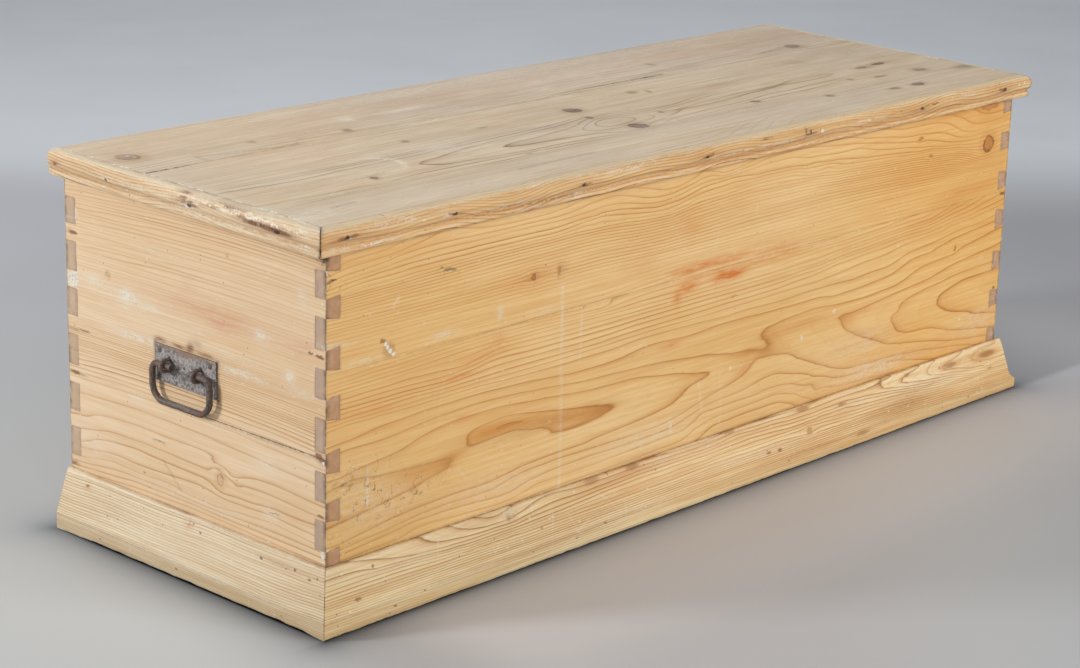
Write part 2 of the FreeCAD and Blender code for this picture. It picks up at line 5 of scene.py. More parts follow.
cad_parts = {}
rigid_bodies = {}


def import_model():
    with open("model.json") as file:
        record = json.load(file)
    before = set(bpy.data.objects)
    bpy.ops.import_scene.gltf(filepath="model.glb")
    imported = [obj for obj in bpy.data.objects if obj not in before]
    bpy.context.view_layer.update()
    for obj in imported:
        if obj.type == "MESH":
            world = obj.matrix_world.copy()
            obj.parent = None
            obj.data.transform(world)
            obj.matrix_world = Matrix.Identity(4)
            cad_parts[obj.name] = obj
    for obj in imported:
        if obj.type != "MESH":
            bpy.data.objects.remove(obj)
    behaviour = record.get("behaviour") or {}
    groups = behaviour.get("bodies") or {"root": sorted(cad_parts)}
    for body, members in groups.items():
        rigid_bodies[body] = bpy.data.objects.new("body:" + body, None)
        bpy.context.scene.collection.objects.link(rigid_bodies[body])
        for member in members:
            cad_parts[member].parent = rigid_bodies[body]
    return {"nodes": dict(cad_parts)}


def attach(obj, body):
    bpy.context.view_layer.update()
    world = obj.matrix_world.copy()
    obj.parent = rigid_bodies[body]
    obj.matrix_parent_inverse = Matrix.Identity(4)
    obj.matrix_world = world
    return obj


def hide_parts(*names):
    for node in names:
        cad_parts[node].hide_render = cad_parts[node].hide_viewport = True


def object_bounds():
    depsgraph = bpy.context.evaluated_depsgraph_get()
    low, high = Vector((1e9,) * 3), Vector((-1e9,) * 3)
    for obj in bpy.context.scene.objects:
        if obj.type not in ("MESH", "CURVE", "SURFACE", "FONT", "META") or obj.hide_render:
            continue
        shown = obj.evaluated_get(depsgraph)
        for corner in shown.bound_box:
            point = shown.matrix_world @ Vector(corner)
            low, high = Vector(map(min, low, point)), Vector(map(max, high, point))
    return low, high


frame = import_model()
CAD_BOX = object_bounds()
rng = np.random.default_rng(7)

# ---------------------------------------------------------------- sizes, mm, carcase-centred
YS = 8.4
L, D = 1393.0, 485.0
XL, XR, YF, YB = -L / 2, L / 2, -D / 2, D / 2
Z0, Z1 = 30.0, 474.0
FT, BT, ET = 18.5, 21.0, 22.0
TAILS = [(46.0, 78.5), (97.0, 135.0), (157.5, 194.5), (218.5, 259.5), (284.0, 320.0), (343.0, 381.5), (404.0, 438.0)]
SL = ET / 8.0
LIDX, LIDY, LIDJ, LIDT = (-706.0, 700.5), (-244.5, 242.5), 70.0, 18.0
TILT = math.atan2(9.2, 485.0)
MT, MH = 16.5, 33.5


def tilt_pts(P):
    """Level lid point to its closed, slightly raised place."""
    Q = np.array(P, float)
    y, z = Q[..., 1] - YF, Q[..., 2] - Z1
    c, s = math.cos(TILT), math.sin(TILT)
    Q[..., 1] = YF + y * c - z * s
    Q[..., 2] = Z1 + y * s + z * c
    return Q


def to_row(P):
    Q = np.array(P, float)
    Q[..., 1] += YS
    return Q * 0.001


# ---------------------------------------------------------------- smooth fields
def fit_lines(lines, ax=(0.25, 1.0), lam=2.0, step=25.0):
    """A smooth field that takes each line's number along that line: its whole numbers are the grain lines."""
    P, V = [], []
    for k, pts in lines:
        pts = np.array(pts, float)
        for a, b in zip(pts[:-1], pts[1:]):
            n = max(1, int(np.abs(b - a).max() / step))
            for t in np.arange(n) / n:
                P.append(a + (b - a) * t)
                V.append(k)
        P.append(pts[-1])
        V.append(k)
    Q = np.array(P) * np.array(ax)
    d2 = ((Q[:, None] - Q[None]) ** 2).sum(2)
    n = len(Q)
    A = np.zeros((n + 3, n + 3))
    A[:n, :n] = 0.5 * d2 * np.log(d2 + 1e-12) + lam * np.eye(n)
    A[:n, n] = 1
    A[:n, n + 1:] = Q
    A[n, :n] = 1
    A[n + 1:, :n] = Q.T
    w = np.linalg.solve(A, np.concatenate([np.array(V, float), np.zeros(3)]))

    def field(u, v):
        X = np.stack([np.ravel(u), np.ravel(v)], 1) * np.array(ax)
        out = np.empty(len(X))
        for i in range(0, len(X), 8000):
            e = ((X[i:i + 8000, None] - Q[None]) ** 2).sum(2)
            out[i:i + 8000] = (0.5 * e * np.log(e + 1e-12)) @ w[:-3] + w[-3] + X[i:i + 8000] @ w[-2:]
        return out
    return field


def tabulate(field, u0, u1, v0, v1, du=5.0, dv=2.5):
    """The same field, read from a table."""
    us = np.arange(u0 - 2 * du, u1 + 2 * du + 1e-6, du)
    vs = np.arange(v0 - 2 * dv, v1 + 2 * dv + 1e-6, dv)
    U, V = np.meshgrid(us, vs, indexing="ij")
    T = field(U.ravel(), V.ravel()).reshape(U.shape)

    def f(u, v):
        a = np.clip((np.ravel(u) - us[0]) / du, 0, len(us) - 1.001)
        b = np.clip((np.ravel(v) - vs[0]) / dv, 0, len(vs) - 1.001)
        i, j = a.astype(int), b.astype(int)
        s, t = a - i, b - j
        return (T[i, j] * (1 - s) + T[i + 1, j] * s) * (1 - t) + (T[i, j + 1] * (1 - s) + T[i + 1, j + 1] * s) * t
    return f


def part_round(field, spots):
    """Grain that parts round knots: (u, v, radius u, radius v, amount)."""
    def f(u, v):
        u, v = np.ravel(u), np.ravel(v)
        w = v.copy()
        for a, b, ru, rv, k in spots:
            w = w - k * (v - b) * np.exp(-(((u - a) / ru) ** 2 + ((v - b) / rv) ** 2))
        return field(u, w)
    return f


def waves(seed, n=14, lo=0.5, hi=4.0):
    """Cheap smooth noise in about -1..1: a sum of sines of mixed direction; its argument is in wavelengths."""
    r = np.random.default_rng(seed)
    K = r.normal(size=(n, 3))
    K *= (r.uniform(lo, hi, n) / np.linalg.norm(K, axis=1))[:, None] * 2 * np.pi
    ph = r.uniform(0, 2 * np.pi, n)
    am = 1.0 / (0.5 + np.linalg.norm(K, axis=1) / (2 * np.pi))
    am /= math.sqrt((am ** 2).sum() / 2) * 2.2

    def f(P):
        return (np.sin(P @ K.T + ph) * am).sum(-1)
    return f


def log_field(seed, v0, depth, pitch, drift=10.0, skew=0.0):
    """Rings of a log seen on a board: u along the grain, v across, w into the board."""
    f1, f2, f3 = waves(seed), waves(seed + 1), waves(seed + 2)

    def field(u, v, w=0.0):
        u = np.ravel(u)
        v = np.ravel(v)
        w = np.ravel(w) if np.ndim(w) else np.full_like(u, float(w))
        q = np.stack([u / 520.0, v * 0 + 0.3, v * 0], -1)
        a = f1(q) * drift
        b = f2(q) * drift * 1.6 + f3(np.stack([u / 190.0, v / 160.0, v * 0], -1)) * drift * 0.22
        r = np.hypot(v - v0 - b - skew * u, depth + a + w)
        return r / pitch + 40
    return field


def bumps(u, v, spots):
    """Sum of soft spots: (u, v, radius u, radius v, amount)."""
    s = np.zeros(np.shape(u))
    for a, b, ru, rv, k in spots:
        s += k * np.exp(-(((u - a) / ru) ** 2 + ((v - b) / rv) ** 2))
    return s


def strokes(u, v, items):
    """Soft strokes: (u0, v0, u1, v1, half width, amount)."""
    s = np.zeros(np.shape(u))
    for a, b, c, d, r, k in items:
        du, dv = c - a, d - b
        t = np.clip(((u - a) * du + (v - b) * dv) / (du * du + dv * dv + 1e-9), 0, 1)
        e = np.hypot(u - a - t * du, v - b - t * dv)
        s = np.maximum(s, k * np.exp(-(e / r) ** 2))
    return s


def seg_dist(u, v, segs):
    d = np.full(np.shape(u), 1e9)
    for a, b, c, e in segs:
        du, dv = c - a, e - b
        t = np.clip(((u - a) * du + (v - b) * dv) / (du * du + dv * dv + 1e-9), 0, 1)
        d = np.minimum(d, np.hypot(u - a - t * du, v - b - t * dv))
    return d


def pins_between():
    """Heights between the tails."""
    out, last = [], Z0
    for a, b in TAILS:
        out.append((last, a))
        last = b
    out.append((last, Z1))
    return out


def front_segs():
    """Joint outlines on the front or back face, as x, z."""
    s = []
    for a, b in TAILS:
        for e, w in ((XL, 1), (XR, -1)):
            s += [(e, a, e + w * ET, a + SL), (e, b, e + w * ET, b - SL)]
    for a, b in pins_between():
        a2, b2 = (a - SL if a > Z0 else a), (b + SL if b < Z1 else b)
        s += [(XL + ET, a2, XL + ET, b2), (XR - ET, a2, XR - ET, b2)]
    return s


def end_segs():
    """Joint outlines on an end face, as y, z."""
    s = []
    for a, b in TAILS:
        for e, t in ((YF, YF + FT), (YB, YB - BT)):
            s += [(e, a, t, a), (e, b, t, b), (t, a, t, b)]
    return s


FSEG, ESEG = front_segs(), end_segs()


# ---------------------------------------------------------------- meshes
def finish_mesh(name, V, F, bevel=0.5, seg=2, sharp=38.0, chip=None):
    """V in mm (carcase-centred). Cleans, bevels, and returns the mesh object."""
    me = bpy.data.meshes.new(name)
    me.from_pydata([tuple(p) for p in V], [], F)
    bm = bmesh.new()
    bm.from_mesh(me)
    bmesh.ops.remove_doubles(bm, verts=bm.verts, dist=0.01)
    bmesh.ops.recalc_face_normals(bm, faces=bm.faces)
    if bevel:
        bm.edges.ensure_lookup_table()
        es = [e for e in bm.edges if len(e.link_faces) == 2 and e.calc_face_angle(0) > math.radians(sharp)]
        bmesh.ops.bevel(bm, geom=es, offset=bevel, offset_type="OFFSET", segments=seg, profile=0.5,
                        affect="EDGES", clamp_overlap=True)
    ng = [f for f in bm.faces if len(f.verts) > 6]
    if ng:
        bmesh.ops.triangulate(bm, faces=ng)
    bmesh.ops.recalc_face_normals(bm, faces=bm.faces)
    bm.to_mesh(me)
    bm.free()
    ob = bpy.data.objects.new(name, me)
    bpy.context.scene.collection.objects.link(ob)
    return ob


def coords(ob):
    co = np.empty(len(ob.data.vertices) * 3, np.float32)
    ob.data.vertices.foreach_get("co", co)
    return co.reshape(-1, 3).astype(float)


def normals(ob):
    co = np.empty(len(ob.data.vertices) * 3, np.float32)
    ob.data.vertex_normals.foreach_get("vector", co)
    return co.reshape(-1, 3).astype(float)


def put(ob, P, scale=True):
    Q = to_row(P) if scale else P
    ob.data.vertices.foreach_set("co", Q.astype(np.float32).ravel())
    ob.data.update()


def attr(ob, name, values):
    a = ob.data.attributes.get(name) or ob.data.attributes.new(name, "FLOAT", "POINT")
    a.data.foreach_set("value", np.asarray(values, np.float32))


def shade(ob, angle=32.0):
    ob.data.shade_smooth()
    ob.data.set_sharp_from_angle(angle=math.radians(angle))


def lines_between(a, b, step):
    n = max(1, int(math.ceil((b - a) / step - 1e-6)))
    return list(np.linspace(a, b, n + 1))


def merge_lines(knots, step, near=()):
    """Sorted grid lines through the knots, with extra lines close to those in near."""
    ks = sorted(set(round(k, 4) for k in knots))
    for k in near:
        for d in (-1.3, 1.3):
            if ks[0] < k + d < ks[-1] and min(abs(k + d - q) for q in ks) > 1.0:
                ks.append(k + d)
    ks = sorted(ks)
    out = [ks[0]]
    for a, b in zip(ks[:-1], ks[1:]):
        out += lines_between(a, b, step)[1:]
    return np.array(out)


def plate(name, A, B, mask, layers=3, bevel=0.5):
    """A slab between the point grids A (outer) and B (inner), with only the masked cells solid."""
    n, m = A.shape[:2]
    idx = -np.ones((n, m, layers + 1), int)
    V, F = [], []

    def vid(i, j, l):
        if idx[i, j, l] < 0:
            idx[i, j, l] = len(V)
            t = l / layers
            V.append(A[i, j] * (1 - t) + B[i, j] * t)
        return idx[i, j, l]
    for i in range(n - 1):
        for j in range(m - 1):
            if not mask[i, j]:
                continue
            F.append((vid(i, j, 0), vid(i + 1, j, 0), vid(i + 1, j + 1, 0), vid(i, j + 1, 0)))
            F.append((vid(i, j, layers), vid(i, j + 1, layers), vid(i + 1, j + 1, layers), vid(i + 1, j, layers)))
            for di, dj, p, q in ((-1, 0, (i, j), (i, j + 1)), (1, 0, (i + 1, j), (i + 1, j + 1)),
                                 (0, -1, (i, j), (i + 1, j)), (0, 1, (i, j + 1), (i + 1, j + 1))):
                a, b = i + di, j + dj
                if 0 <= a < n - 1 and 0 <= b < m - 1 and mask[a, b]:
                    continue
                for l in range(layers):
                    F.append((vid(*p, l), vid(*q, l), vid(*q, l + 1), vid(*p, l + 1)))
    return finish_mesh(name, V, F, bevel=bevel)


def comb_map(lo, hi):
    """Knots of a dovetailed panel between two heights: (inner z, outer z, tail?) at every line."""
    ks = [(lo, lo)]
    tails = []
    for a, b in TAILS:
        a2, b2 = max(a, lo), min(b, hi)
        if b2 <= a2:
            continue
        ai = a + SL if a > lo else a2
        bi = b - SL if b < hi else b2
        ks += [(ai, a2), (bi, b2)]
        tails.append((ai, bi))
    ks.append((hi, hi))
    ks = sorted(set(ks))
    return np.array(ks), tails


def side_board(name, lo, hi, y_out, y_in, step=4.0, layers=3, near=True):
    """Front or back board with tails on both ends."""
    ks, tails = comb_map(lo, hi)
    zi = merge_lines(ks[:, 0], step, near=ks[:, 0] if near else ())
    zo = np.interp(zi, ks[:, 0], ks[:, 1])
    xs = merge_lines([XL, XL + ET, XR - ET, XR], step, near=(XL, XL + ET, XR - ET, XR) if near else ())
    n, m = len(xs), len(zi)
    A = np.zeros((n, m, 3))
    t = np.clip(np.maximum((XL + ET - xs) / ET, (xs - XR + ET) / ET), 0, 1)
    A[..., 0] = xs[:, None]
    A[..., 2] = zi[None] + (zo - zi)[None] * t[:, None]
    B = A.copy()
    A[..., 1] = y_out
    B[..., 1] = y_in
    mask = np.ones((n - 1, m - 1), bool)
    zc = (zi[1:] + zi[:-1]) / 2
    intail = np.array([any(a < z < b for a, b in tails) for z in zc])
    xc = (xs[1:] + xs[:-1]) / 2
    comb = (xc < XL + ET) | (xc > XR - ET)
    mask[comb] = intail[None]
    return plate(name, A, B, mask, layers)


def end_board(name, lo, hi, x_out, x_in, step=4.0, layers=3):
    """End board with sockets at the front and the back; pins between them."""
    ks, tails = comb_map(lo, hi)
    zi = merge_lines(ks[:, 0], step, near=ks[:, 0])
    zo = np.interp(zi, ks[:, 0], ks[:, 1])
    ys = merge_lines([YF, YF + FT, YB - BT, YB], step, near=(YF, YF + FT, YB - BT, YB))
    n, m = len(ys), len(zi)
    A = np.zeros((n, m, 3))
    comb = (ys <= YF + FT + 1e-6) | (ys >= YB - BT - 1e-6)
    A[..., 0] = x_out
    A[..., 1] = ys[:, None]
    A[..., 2] = np.where(comb[:, None], zo[None], zi[None])
    B = np.zeros((n, m, 3))
    B[..., 0] = x_in
    B[..., 1] = ys[:, None]
    B[..., 2] = zi[None]
    mask = np.ones((n - 1, m - 1), bool)
    zc = (zi[1:] + zi[:-1]) / 2
    intail = np.array([any(a < z < b for a, b in tails) for z in zc])
    yc = (ys[1:] + ys[:-1]) / 2
    mask[(yc < YF + FT) | (yc > YB - BT)] = ~intail[None]
    return plate(name, A, B, mask, layers)


def slab(name, x, y, z, step=8.0, layers=3, flat=2, bevel=0.8, knots=()):
    """A plain board; flat is the axis of its thickness."""
    r = [x, y, z]
    ua, va = [k for k in (0, 1, 2) if k != flat]
    us = merge_lines(list(r[ua]) + [k for k in knots if r[ua][0] < k < r[ua][1]], step)
    vs = merge_lines(list(r[va]), step)
    A = np.zeros((len(us), len(vs), 3))
    A[..., ua] = us[:, None]
    A[..., va] = vs[None]
    B = A.copy()
    A[..., flat] = r[flat][1]
    B[..., flat] = r[flat][0]
    return plate(name, A, B, np.ones((len(us) - 1, len(vs) - 1), bool), layers, bevel)


def sweep(name, prof, ends, place, step=4.0, bevel=0.35, sharp=38.0):
    """A moulding: closed profile [(p, h)], its two ends as functions of p, placed by place(s, p, h)."""
    prof = np.array(prof, float)
    mid = (ends[0](0.0), ends[1](0.0))
    n = max(2, int(abs(mid[1] - mid[0]) / step))
    ts = list(np.linspace(0, 1, n + 1))
    for e in (1.3 / abs(mid[1] - mid[0]),):
        ts += [e, 1 - e]
    ts = sorted(ts)
    n = len(ts) - 1
    V, F = [], []
    k = len(prof)
    for t in ts:
        for p, h in prof:
            s = ends[0](p) * (1 - t) + ends[1](p) * t
            V.append(place(s, p, h))
    for i in range(n):
        for j in range(k):
            a, b = i * k + j, i * k + (j + 1) % k
            F.append((a, b, b + k, a + k))
    F.append(tuple(range(k - 1, -1, -1)))
    F.append(tuple(n * k + j for j in range(k)))
    return finish_mesh(name, V, F, bevel=bevel, sharp=sharp)


def arc_pts(a, m, b, n):
    """Points on the arc through a, m, b, without a."""
    ax, ay = a
    bx, by = m
    cx, cy = b
    d = 2 * (ax * (by - cy) + bx * (cy - ay) + cx * (ay - by))
    ux = ((ax * ax + ay * ay) * (by - cy) + (bx * bx + by * by) * (cy - ay) + (cx * cx + cy * cy) * (ay - by)) / d
    uy = ((ax * ax + ay * ay) * (cx - bx) + (bx * bx + by * by) * (ax - cx) + (cx * cx + cy * cy) * (bx - ax)) / d
    r = math.hypot(ax - ux, ay - uy)
    t0, tm, t1 = (math.atan2(q[1] - uy, q[0] - ux) for q in (a, m, b))

    def between(t, lo, hi):
        return (t - lo) % (2 * math.pi) <= (hi - lo) % (2 * math.pi)
    if between(tm, t0, t1):
        span = (t1 - t0) % (2 * math.pi)
    else:
        span = -((t0 - t1) % (2 * math.pi))
    return [(ux + r * math.cos(t0 + span * i / n), uy + r * math.sin(t0 + span * i / n)) for i in range(1, n + 1)]


def line_pts(a, b, n):
    return [(a[0] + (b[0] - a[0]) * i / n, a[1] + (b[1] - a[1]) * i / n) for i in range(1, n + 1)]


# ---------------------------------------------------------------- grain lines, mm: (ring, [(along, across), ...])
FRONT_LOWER = [
    (22, [(-235, 310.5), (-154, 315.5), (-49, 318), (51, 320)]),
    (22, [(230, 311), (289, 313.5), (339, 317.5)]),
    (24, [(-700, 315.5), (-609, 315.5), (-509, 315.5)]),
    (23, [(-686, 306), (-586, 309), (-505, 311), (-427, 313.5), (-409, 313.5), (-232, 310)]),
    (20, [(-682, 291.5), (-564, 294.5), (-464, 299), (-355, 299), (-230, 298)]),
    (20, [(-149, 299), (-49, 299), (51, 301.5), (142, 302), (240, 305)]),
    (20, [(289, 305), (380, 308), (444, 312.5), (485, 316.5)]),
    (18, [(-682, 280), (-564, 282.5), (-473, 280), (-432, 285.5), (-405, 289), (-336, 287.5), (-230, 286.5)]),
    (18, [(-149, 287), (-49, 287), (51, 287), (142, 287.5), (240, 290)]),
    (18, [(289, 293.5), (380, 298), (457, 300), (503, 301.5), (521, 305), (548, 311), (585, 317.5)]),
    (16, [(-682, 268), (-586, 268), (-509, 266.5), (-473, 269.5), (-436, 274.5), (-409, 276.5), (-336, 274.5), (-230, 274.5)]),
    (16, [(-149, 275.5), (-49, 275.5), (51, 275.5), (142, 276), (240, 278.5)]),
    (16, [(289, 283.5), (380, 287.5), (457, 291.5), (503, 292.5), (548, 298), (594, 303.5), (639, 314)]),
    (14, [(-700, 256.5), (-550, 258.5), (-505, 257.5), (-445, 258), (-382, 259), (-291, 258.5), (-230, 258.5)]),
    (14, [(-149, 260.5), (-49, 261), (51, 262), (142, 262.5), (240, 268)]),
    (14, [(275, 272), (339, 275.5), (389, 277), (425, 281), (457, 281), (503, 281), (548, 287), (594, 289), (639, 294.5), (675, 299)]),
    (13, [(-700, 251), (-550, 252), (-445, 252.5), (-355, 251.5), (-230, 252.5)]),
    (13, [(-149, 254.5), (-49, 254), (51, 254), (142, 254.5), (240, 256.5)]),
    (13, [(266, 258), (321, 262.5), (366, 265), (412, 269.5), (457, 274.5), (503, 276.5), (548, 280), (594, 284.5), (639, 287.5), (675, 291.5)]),
    (12, [(-700, 245), (-655, 247.5), (-609, 247.5), (-550, 247), (-445, 247.5), (-355, 245), (-291, 244), (-230, 244.5)]),
    (12, [(-195, 245), (-149, 247.5), (-90, 247), (-35, 246), (33, 243.5), (78, 244.5), (146, 242.5), (240, 244.5)]),
    (12, [(275, 244.5), (321, 243.5), (348, 246), (398, 247), (425, 252.5), (457, 259.5), (489, 262), (521, 264), (548, 267.5), (585, 272.5), (630, 274), (675, 280)]),
    (11, [(-691, 225.5), (-655, 227.5), (-609, 233.5), (-541, 237), (-445, 237.5), (-382, 235.5), (-336, 233), (-277, 228.5), (-230, 227.5)]),
    (11, [(-213, 227.5), (-181, 228.5), (-149, 233), (-122, 235), (-90, 234.5), (-58, 232), (-22, 232.5), (15, 234.5), (51, 234), (105, 232.5), (169, 231.5), (240, 231)]),
    (11, [(266, 227.5), (303, 227), (344, 228.5), (380, 231), (412, 234.5), (435, 240), (466, 248), (503, 249), (525, 254), (548, 257.5), (585, 262), (616, 265), (675, 270)]),
    (10, [(-691, 212.5), (-673, 216.5), (-609, 216.5), (-564, 220), (-500, 224.5), (-445, 225.5), (-382, 224), (-323, 219.5), (-277, 215.5), (-230, 212)]),
    (10, [(-213, 212), (-149, 208.5), (-90, 205), (-40, 200.5), (-13, 198.5), (15, 193.5), (42, 189), (78, 187), (119, 187.5)]),
    (10, [(119, 206.5), (151, 212.5), (192, 215), (240, 216.5)]),
    (10, [(289, 212), (348, 211), (389, 213), (425, 215), (444, 219.5), (471, 227.5), (491, 231.5), (512, 232.5), (539, 234.5), (562, 236), (589, 242.5), (616, 247), (675, 255)]),
    (10, [(133, 176.5), (119, 169.5), (96, 166.5), (78, 152.5), (55, 146), (15, 139), (-22, 131), (-58, 123), (-104, 117.5), (-172, 116.5), (-240, 117.5)]),
    (10, [(146, 166.5), (183, 159.5), (201, 148), (240, 132.5)]),
    (10, [(257, 127.5), (285, 116.5), (321, 109.5), (366, 107.5), (435, 105), (503, 99.5), (548, 93.5), (594, 88)]),
    (10, [(-291, 118.5), (-327, 117.5), (-364, 116.5), (-391, 112.5), (-409, 108), (-445, 106.5), (-500, 107.5), (-545, 105), (-609, 99.5), (-673, 94.5)]),
    (9, [(-673, 184.5), (-627, 190.5), (-577, 195), (-550, 204), (-509, 211), (-464, 212.5), (-409, 212), (-355, 208.5), (-305, 205), (-264, 200.5), (-230, 198)]),
    (9, [(-195, 196.5), (-149, 195), (-104, 189), (-67, 184.5), (-35, 177.5), (-13, 174.5), (5, 170.5)]),
    (9, [(5, 168), (-22, 163), (-40, 159.5), (-58, 150.5), (-76, 143.5), (-104, 139), (-149, 134.5), (-195, 131.5), (-240, 129)]),
    (9, [(-245, 127.5), (-291, 127.5), (-355, 125.5), (-391, 121), (-427, 117.5), (-473, 117.5), (-500, 116.5), (-550, 115), (-586, 112.5), (-618, 108.5), (-673, 102)]),
    (9, [(294, 189), (298, 194.5), (321, 193.5), (366, 197.5), (412, 202), (457, 205), (503, 208.5), (548, 216.5), (575, 221), (616, 225.5), (675, 230)]),
    (9, [(295, 184.5), (303, 173), (321, 162), (339, 153.5), (389, 137), (435, 123), (485, 115), (525, 108.5), (571, 100.5), (616, 94.5), (666, 89)]),
    (8, [(-463, 182.5), (-459, 190.5), (-427, 196), (-391, 197.5), (-355, 192.5), (-300, 184.5), (-264, 179), (-230, 174.5)]),
    (8, [(-222, 172), (-195, 167.5)]),
    (8, [(-197, 164), (-222, 162), (-240, 159.5)]),
    (8, [(-230, 156.5), (-291, 156.5), (-309, 157.5), (-336, 168.5), (-382, 176.5), (-418, 174.5), (-455, 171), (-464, 175.5)]),
    (8, [(416, 167.5), (421, 170), (437, 174.5), (438, 181.5), (466, 189), (512, 196), (539, 198), (575, 202), (616, 204), (675, 206)]),
    (8, [(417, 162), (425, 152), (435, 143.5), (466, 134.5), (503, 132.5), (539, 125.5), (566, 117.5), (603, 111), (675, 100.5)]),
    (8, [(-659, 177.5), (-586, 171), (-550, 169.5), (-518, 167.5), (-486, 164.5), (-500, 156.5), (-541, 146), (-609, 134.5), (-673, 127.5)]),
    (7, [(534, 171), (544, 179), (566, 184.5), (594, 190.5), (675, 192.5)]),
    (7, [(535, 165.5), (544, 156.5), (566, 147.5), (594, 141.5), (616, 137), (639, 130), (685, 123)]),
    (7, [(-409, 187), (-373, 187), (-341, 180), (-373, 182.5), (-409, 182.5)]),
    (11, [(-673, 88), (-609, 93.5), (-550, 99), (-500, 99), (-445, 96), (-409, 94.5), (-382, 95), (-336, 103.5), (-291, 106.5), (-230, 107.5)]),
    (11, [(-240, 107.5), (-172, 106.5), (-104, 107.5), (-58, 112), (-31, 118.5), (5, 125.5), (51, 127.5), (87, 131), (124, 136), (146, 137), (169, 132.5), (215, 123), (240, 114)]),
    (11, [(257, 111), (285, 102.5), (321, 99), (389, 99), (435, 97), (485, 88), (521, 80)]),
    (12, [(-586, 83.5), (-536, 90), (-445, 85.5), (-405, 83.5), (-364, 88), (-336, 93.5), (-291, 93.5), (-230, 94.5)]),
    (12, [(-240, 94.5), (-172, 96), (-104, 98), (-49, 99), (-26, 107.5), (-13, 114), (51, 116.5), (96, 116.5), (124, 118.5), (151, 118.5), (187, 114), (215, 105), (240, 93.5)]),
    (12, [(230, 105), (262, 94.5), (298, 87), (366, 83.5), (421, 80)]),
    (13, [(-518, 77.5), (-445, 74.5), (-355, 80), (-230, 83.5)]),
    (13, [(-240, 83), (-149, 83.5), (-58, 85.5), (-22, 96), (15, 102.5), (78, 105), (151, 106.5), (192, 98), (219, 87), (240, 77.5)]),
    (14, [(-22, 77.5), (15, 91.5), (78, 93.5), (151, 93.5), (192, 82.5)]),
]
FRONT_UPPER = [
    (0, [(-700, 429), (-673, 434.5), (-632, 438), (-586, 440.5), (-550, 446), (-518, 452), (-505, 454.5)]),
    (0, [(-172, 452.5), (-135, 446), (-113, 441.5), (-85, 440), (-58, 443.5), (-40, 449), (-31, 453.5)]),
    (0, [(15, 442), (51, 447.5), (78, 452), (96, 454.5)]),
    (0, [(298, 452), (330, 446), (366, 442), (394, 439), (421, 434.5), (457, 431.5), (503, 430), (530, 426.5)]),
    (-1, [(15, 453.5), (33, 455)]),
    (-1, [(380, 452.5), (412, 447.5), (457, 446), (503, 444.5), (539, 439), (566, 429)]),
    (1, [(-700, 423.5), (-673, 426.5), (-609, 432), (-573, 437), (-536, 439), (-495, 439.5), (-427, 438), (-355, 438), (-314, 438), (-268, 441.5), (-230, 446)]),
    (1, [(-240, 446), (-213, 447.5), (-181, 443.5), (-149, 436), (-122, 432.5), (-90, 433), (-63, 437), (-40, 441.5), (-4, 443.5), (15, 442)]),
    (2, [(-700, 418), (-673, 421), (-609, 425.5), (-564, 430), (-518, 432.5), (-427, 433), (-355, 433), (-314, 432.5), (-268, 434.5), (-230, 437.5)]),
    (2, [(-240, 436), (-213, 437.5), (-181, 434.5), (-149, 428.5), (-122, 426.5), (-90, 427), (-63, 431), (-40, 435.5), (-13, 438), (51, 439), (105, 443.5), (151, 444.5), (215, 437), (240, 436)]),
    (2, [(266, 434.5), (298, 434.5), (321, 432.5), (348, 427.5), (380, 423), (412, 420), (448, 416.5), (485, 412), (525, 407.5), (575, 405)]),
    (3, [(-700, 413.5), (-673, 416.5), (-609, 421), (-564, 423.5), (-495, 424.5), (-427, 424.5), (-314, 423.5), (-230, 429)]),
    (3, [(-240, 427), (-213, 428.5), (-181, 426.5), (-149, 423), (-122, 420), (-95, 421), (-67, 423), (-45, 427.5), (-26, 431), (42, 434.5), (87, 431), (124, 431.5), (151, 431), (192, 427.5), (215, 429), (240, 425.5)]),
    (3, [(266, 424.5), (321, 418.5), (366, 415.5), (412, 412), (457, 408), (503, 405.5), (548, 402), (594, 398)]),
    (5, [(-700, 404.5), (-632, 408), (-591, 408.5), (-564, 410.5), (-427, 413.5), (-314, 413.5), (-230, 420)]),
    (5, [(-240, 415), (-213, 415.5), (-172, 413), (-135, 409.5), (-95, 408), (-67, 412), (-40, 417.5), (15, 419.5), (51, 421), (96, 423), (146, 423), (169, 422.5), (192, 418.5), (219, 415), (240, 418)]),
    (5, [(266, 412), (366, 406.5), (457, 402), (548, 396), (594, 391)]),
    (8, [(-700, 396), (-609, 398), (-427, 402), (-230, 403.5)]),
    (8, [(-149, 398), (-90, 397), (-40, 402.5), (78, 408), (215, 405)]),
    (8, [(266, 400.5), (366, 396), (457, 392.5), (548, 387.5), (594, 381), (625, 375.5), (653, 376.5), (685, 382.5)]),
    (14, [(-700, 373), (-473, 373), (-230, 377.5)]),
    (14, [(-104, 373), (78, 379), (240, 379)]),
    (14, [(366, 375.5), (548, 366.5), (685, 361)]),
    (20, [(-700, 347), (-586, 347), (-230, 348)]),
    (20, [(-13, 347.5), (240, 348)]),
    (20, [(412, 347.5), (685, 343.5)]),
    (24, [(-700, 323), (-473, 323), (-230, 321)]),
    (24, [(-13, 330), (240, 327.5)]),
    (24, [(412, 325.5), (685, 323)]),
]
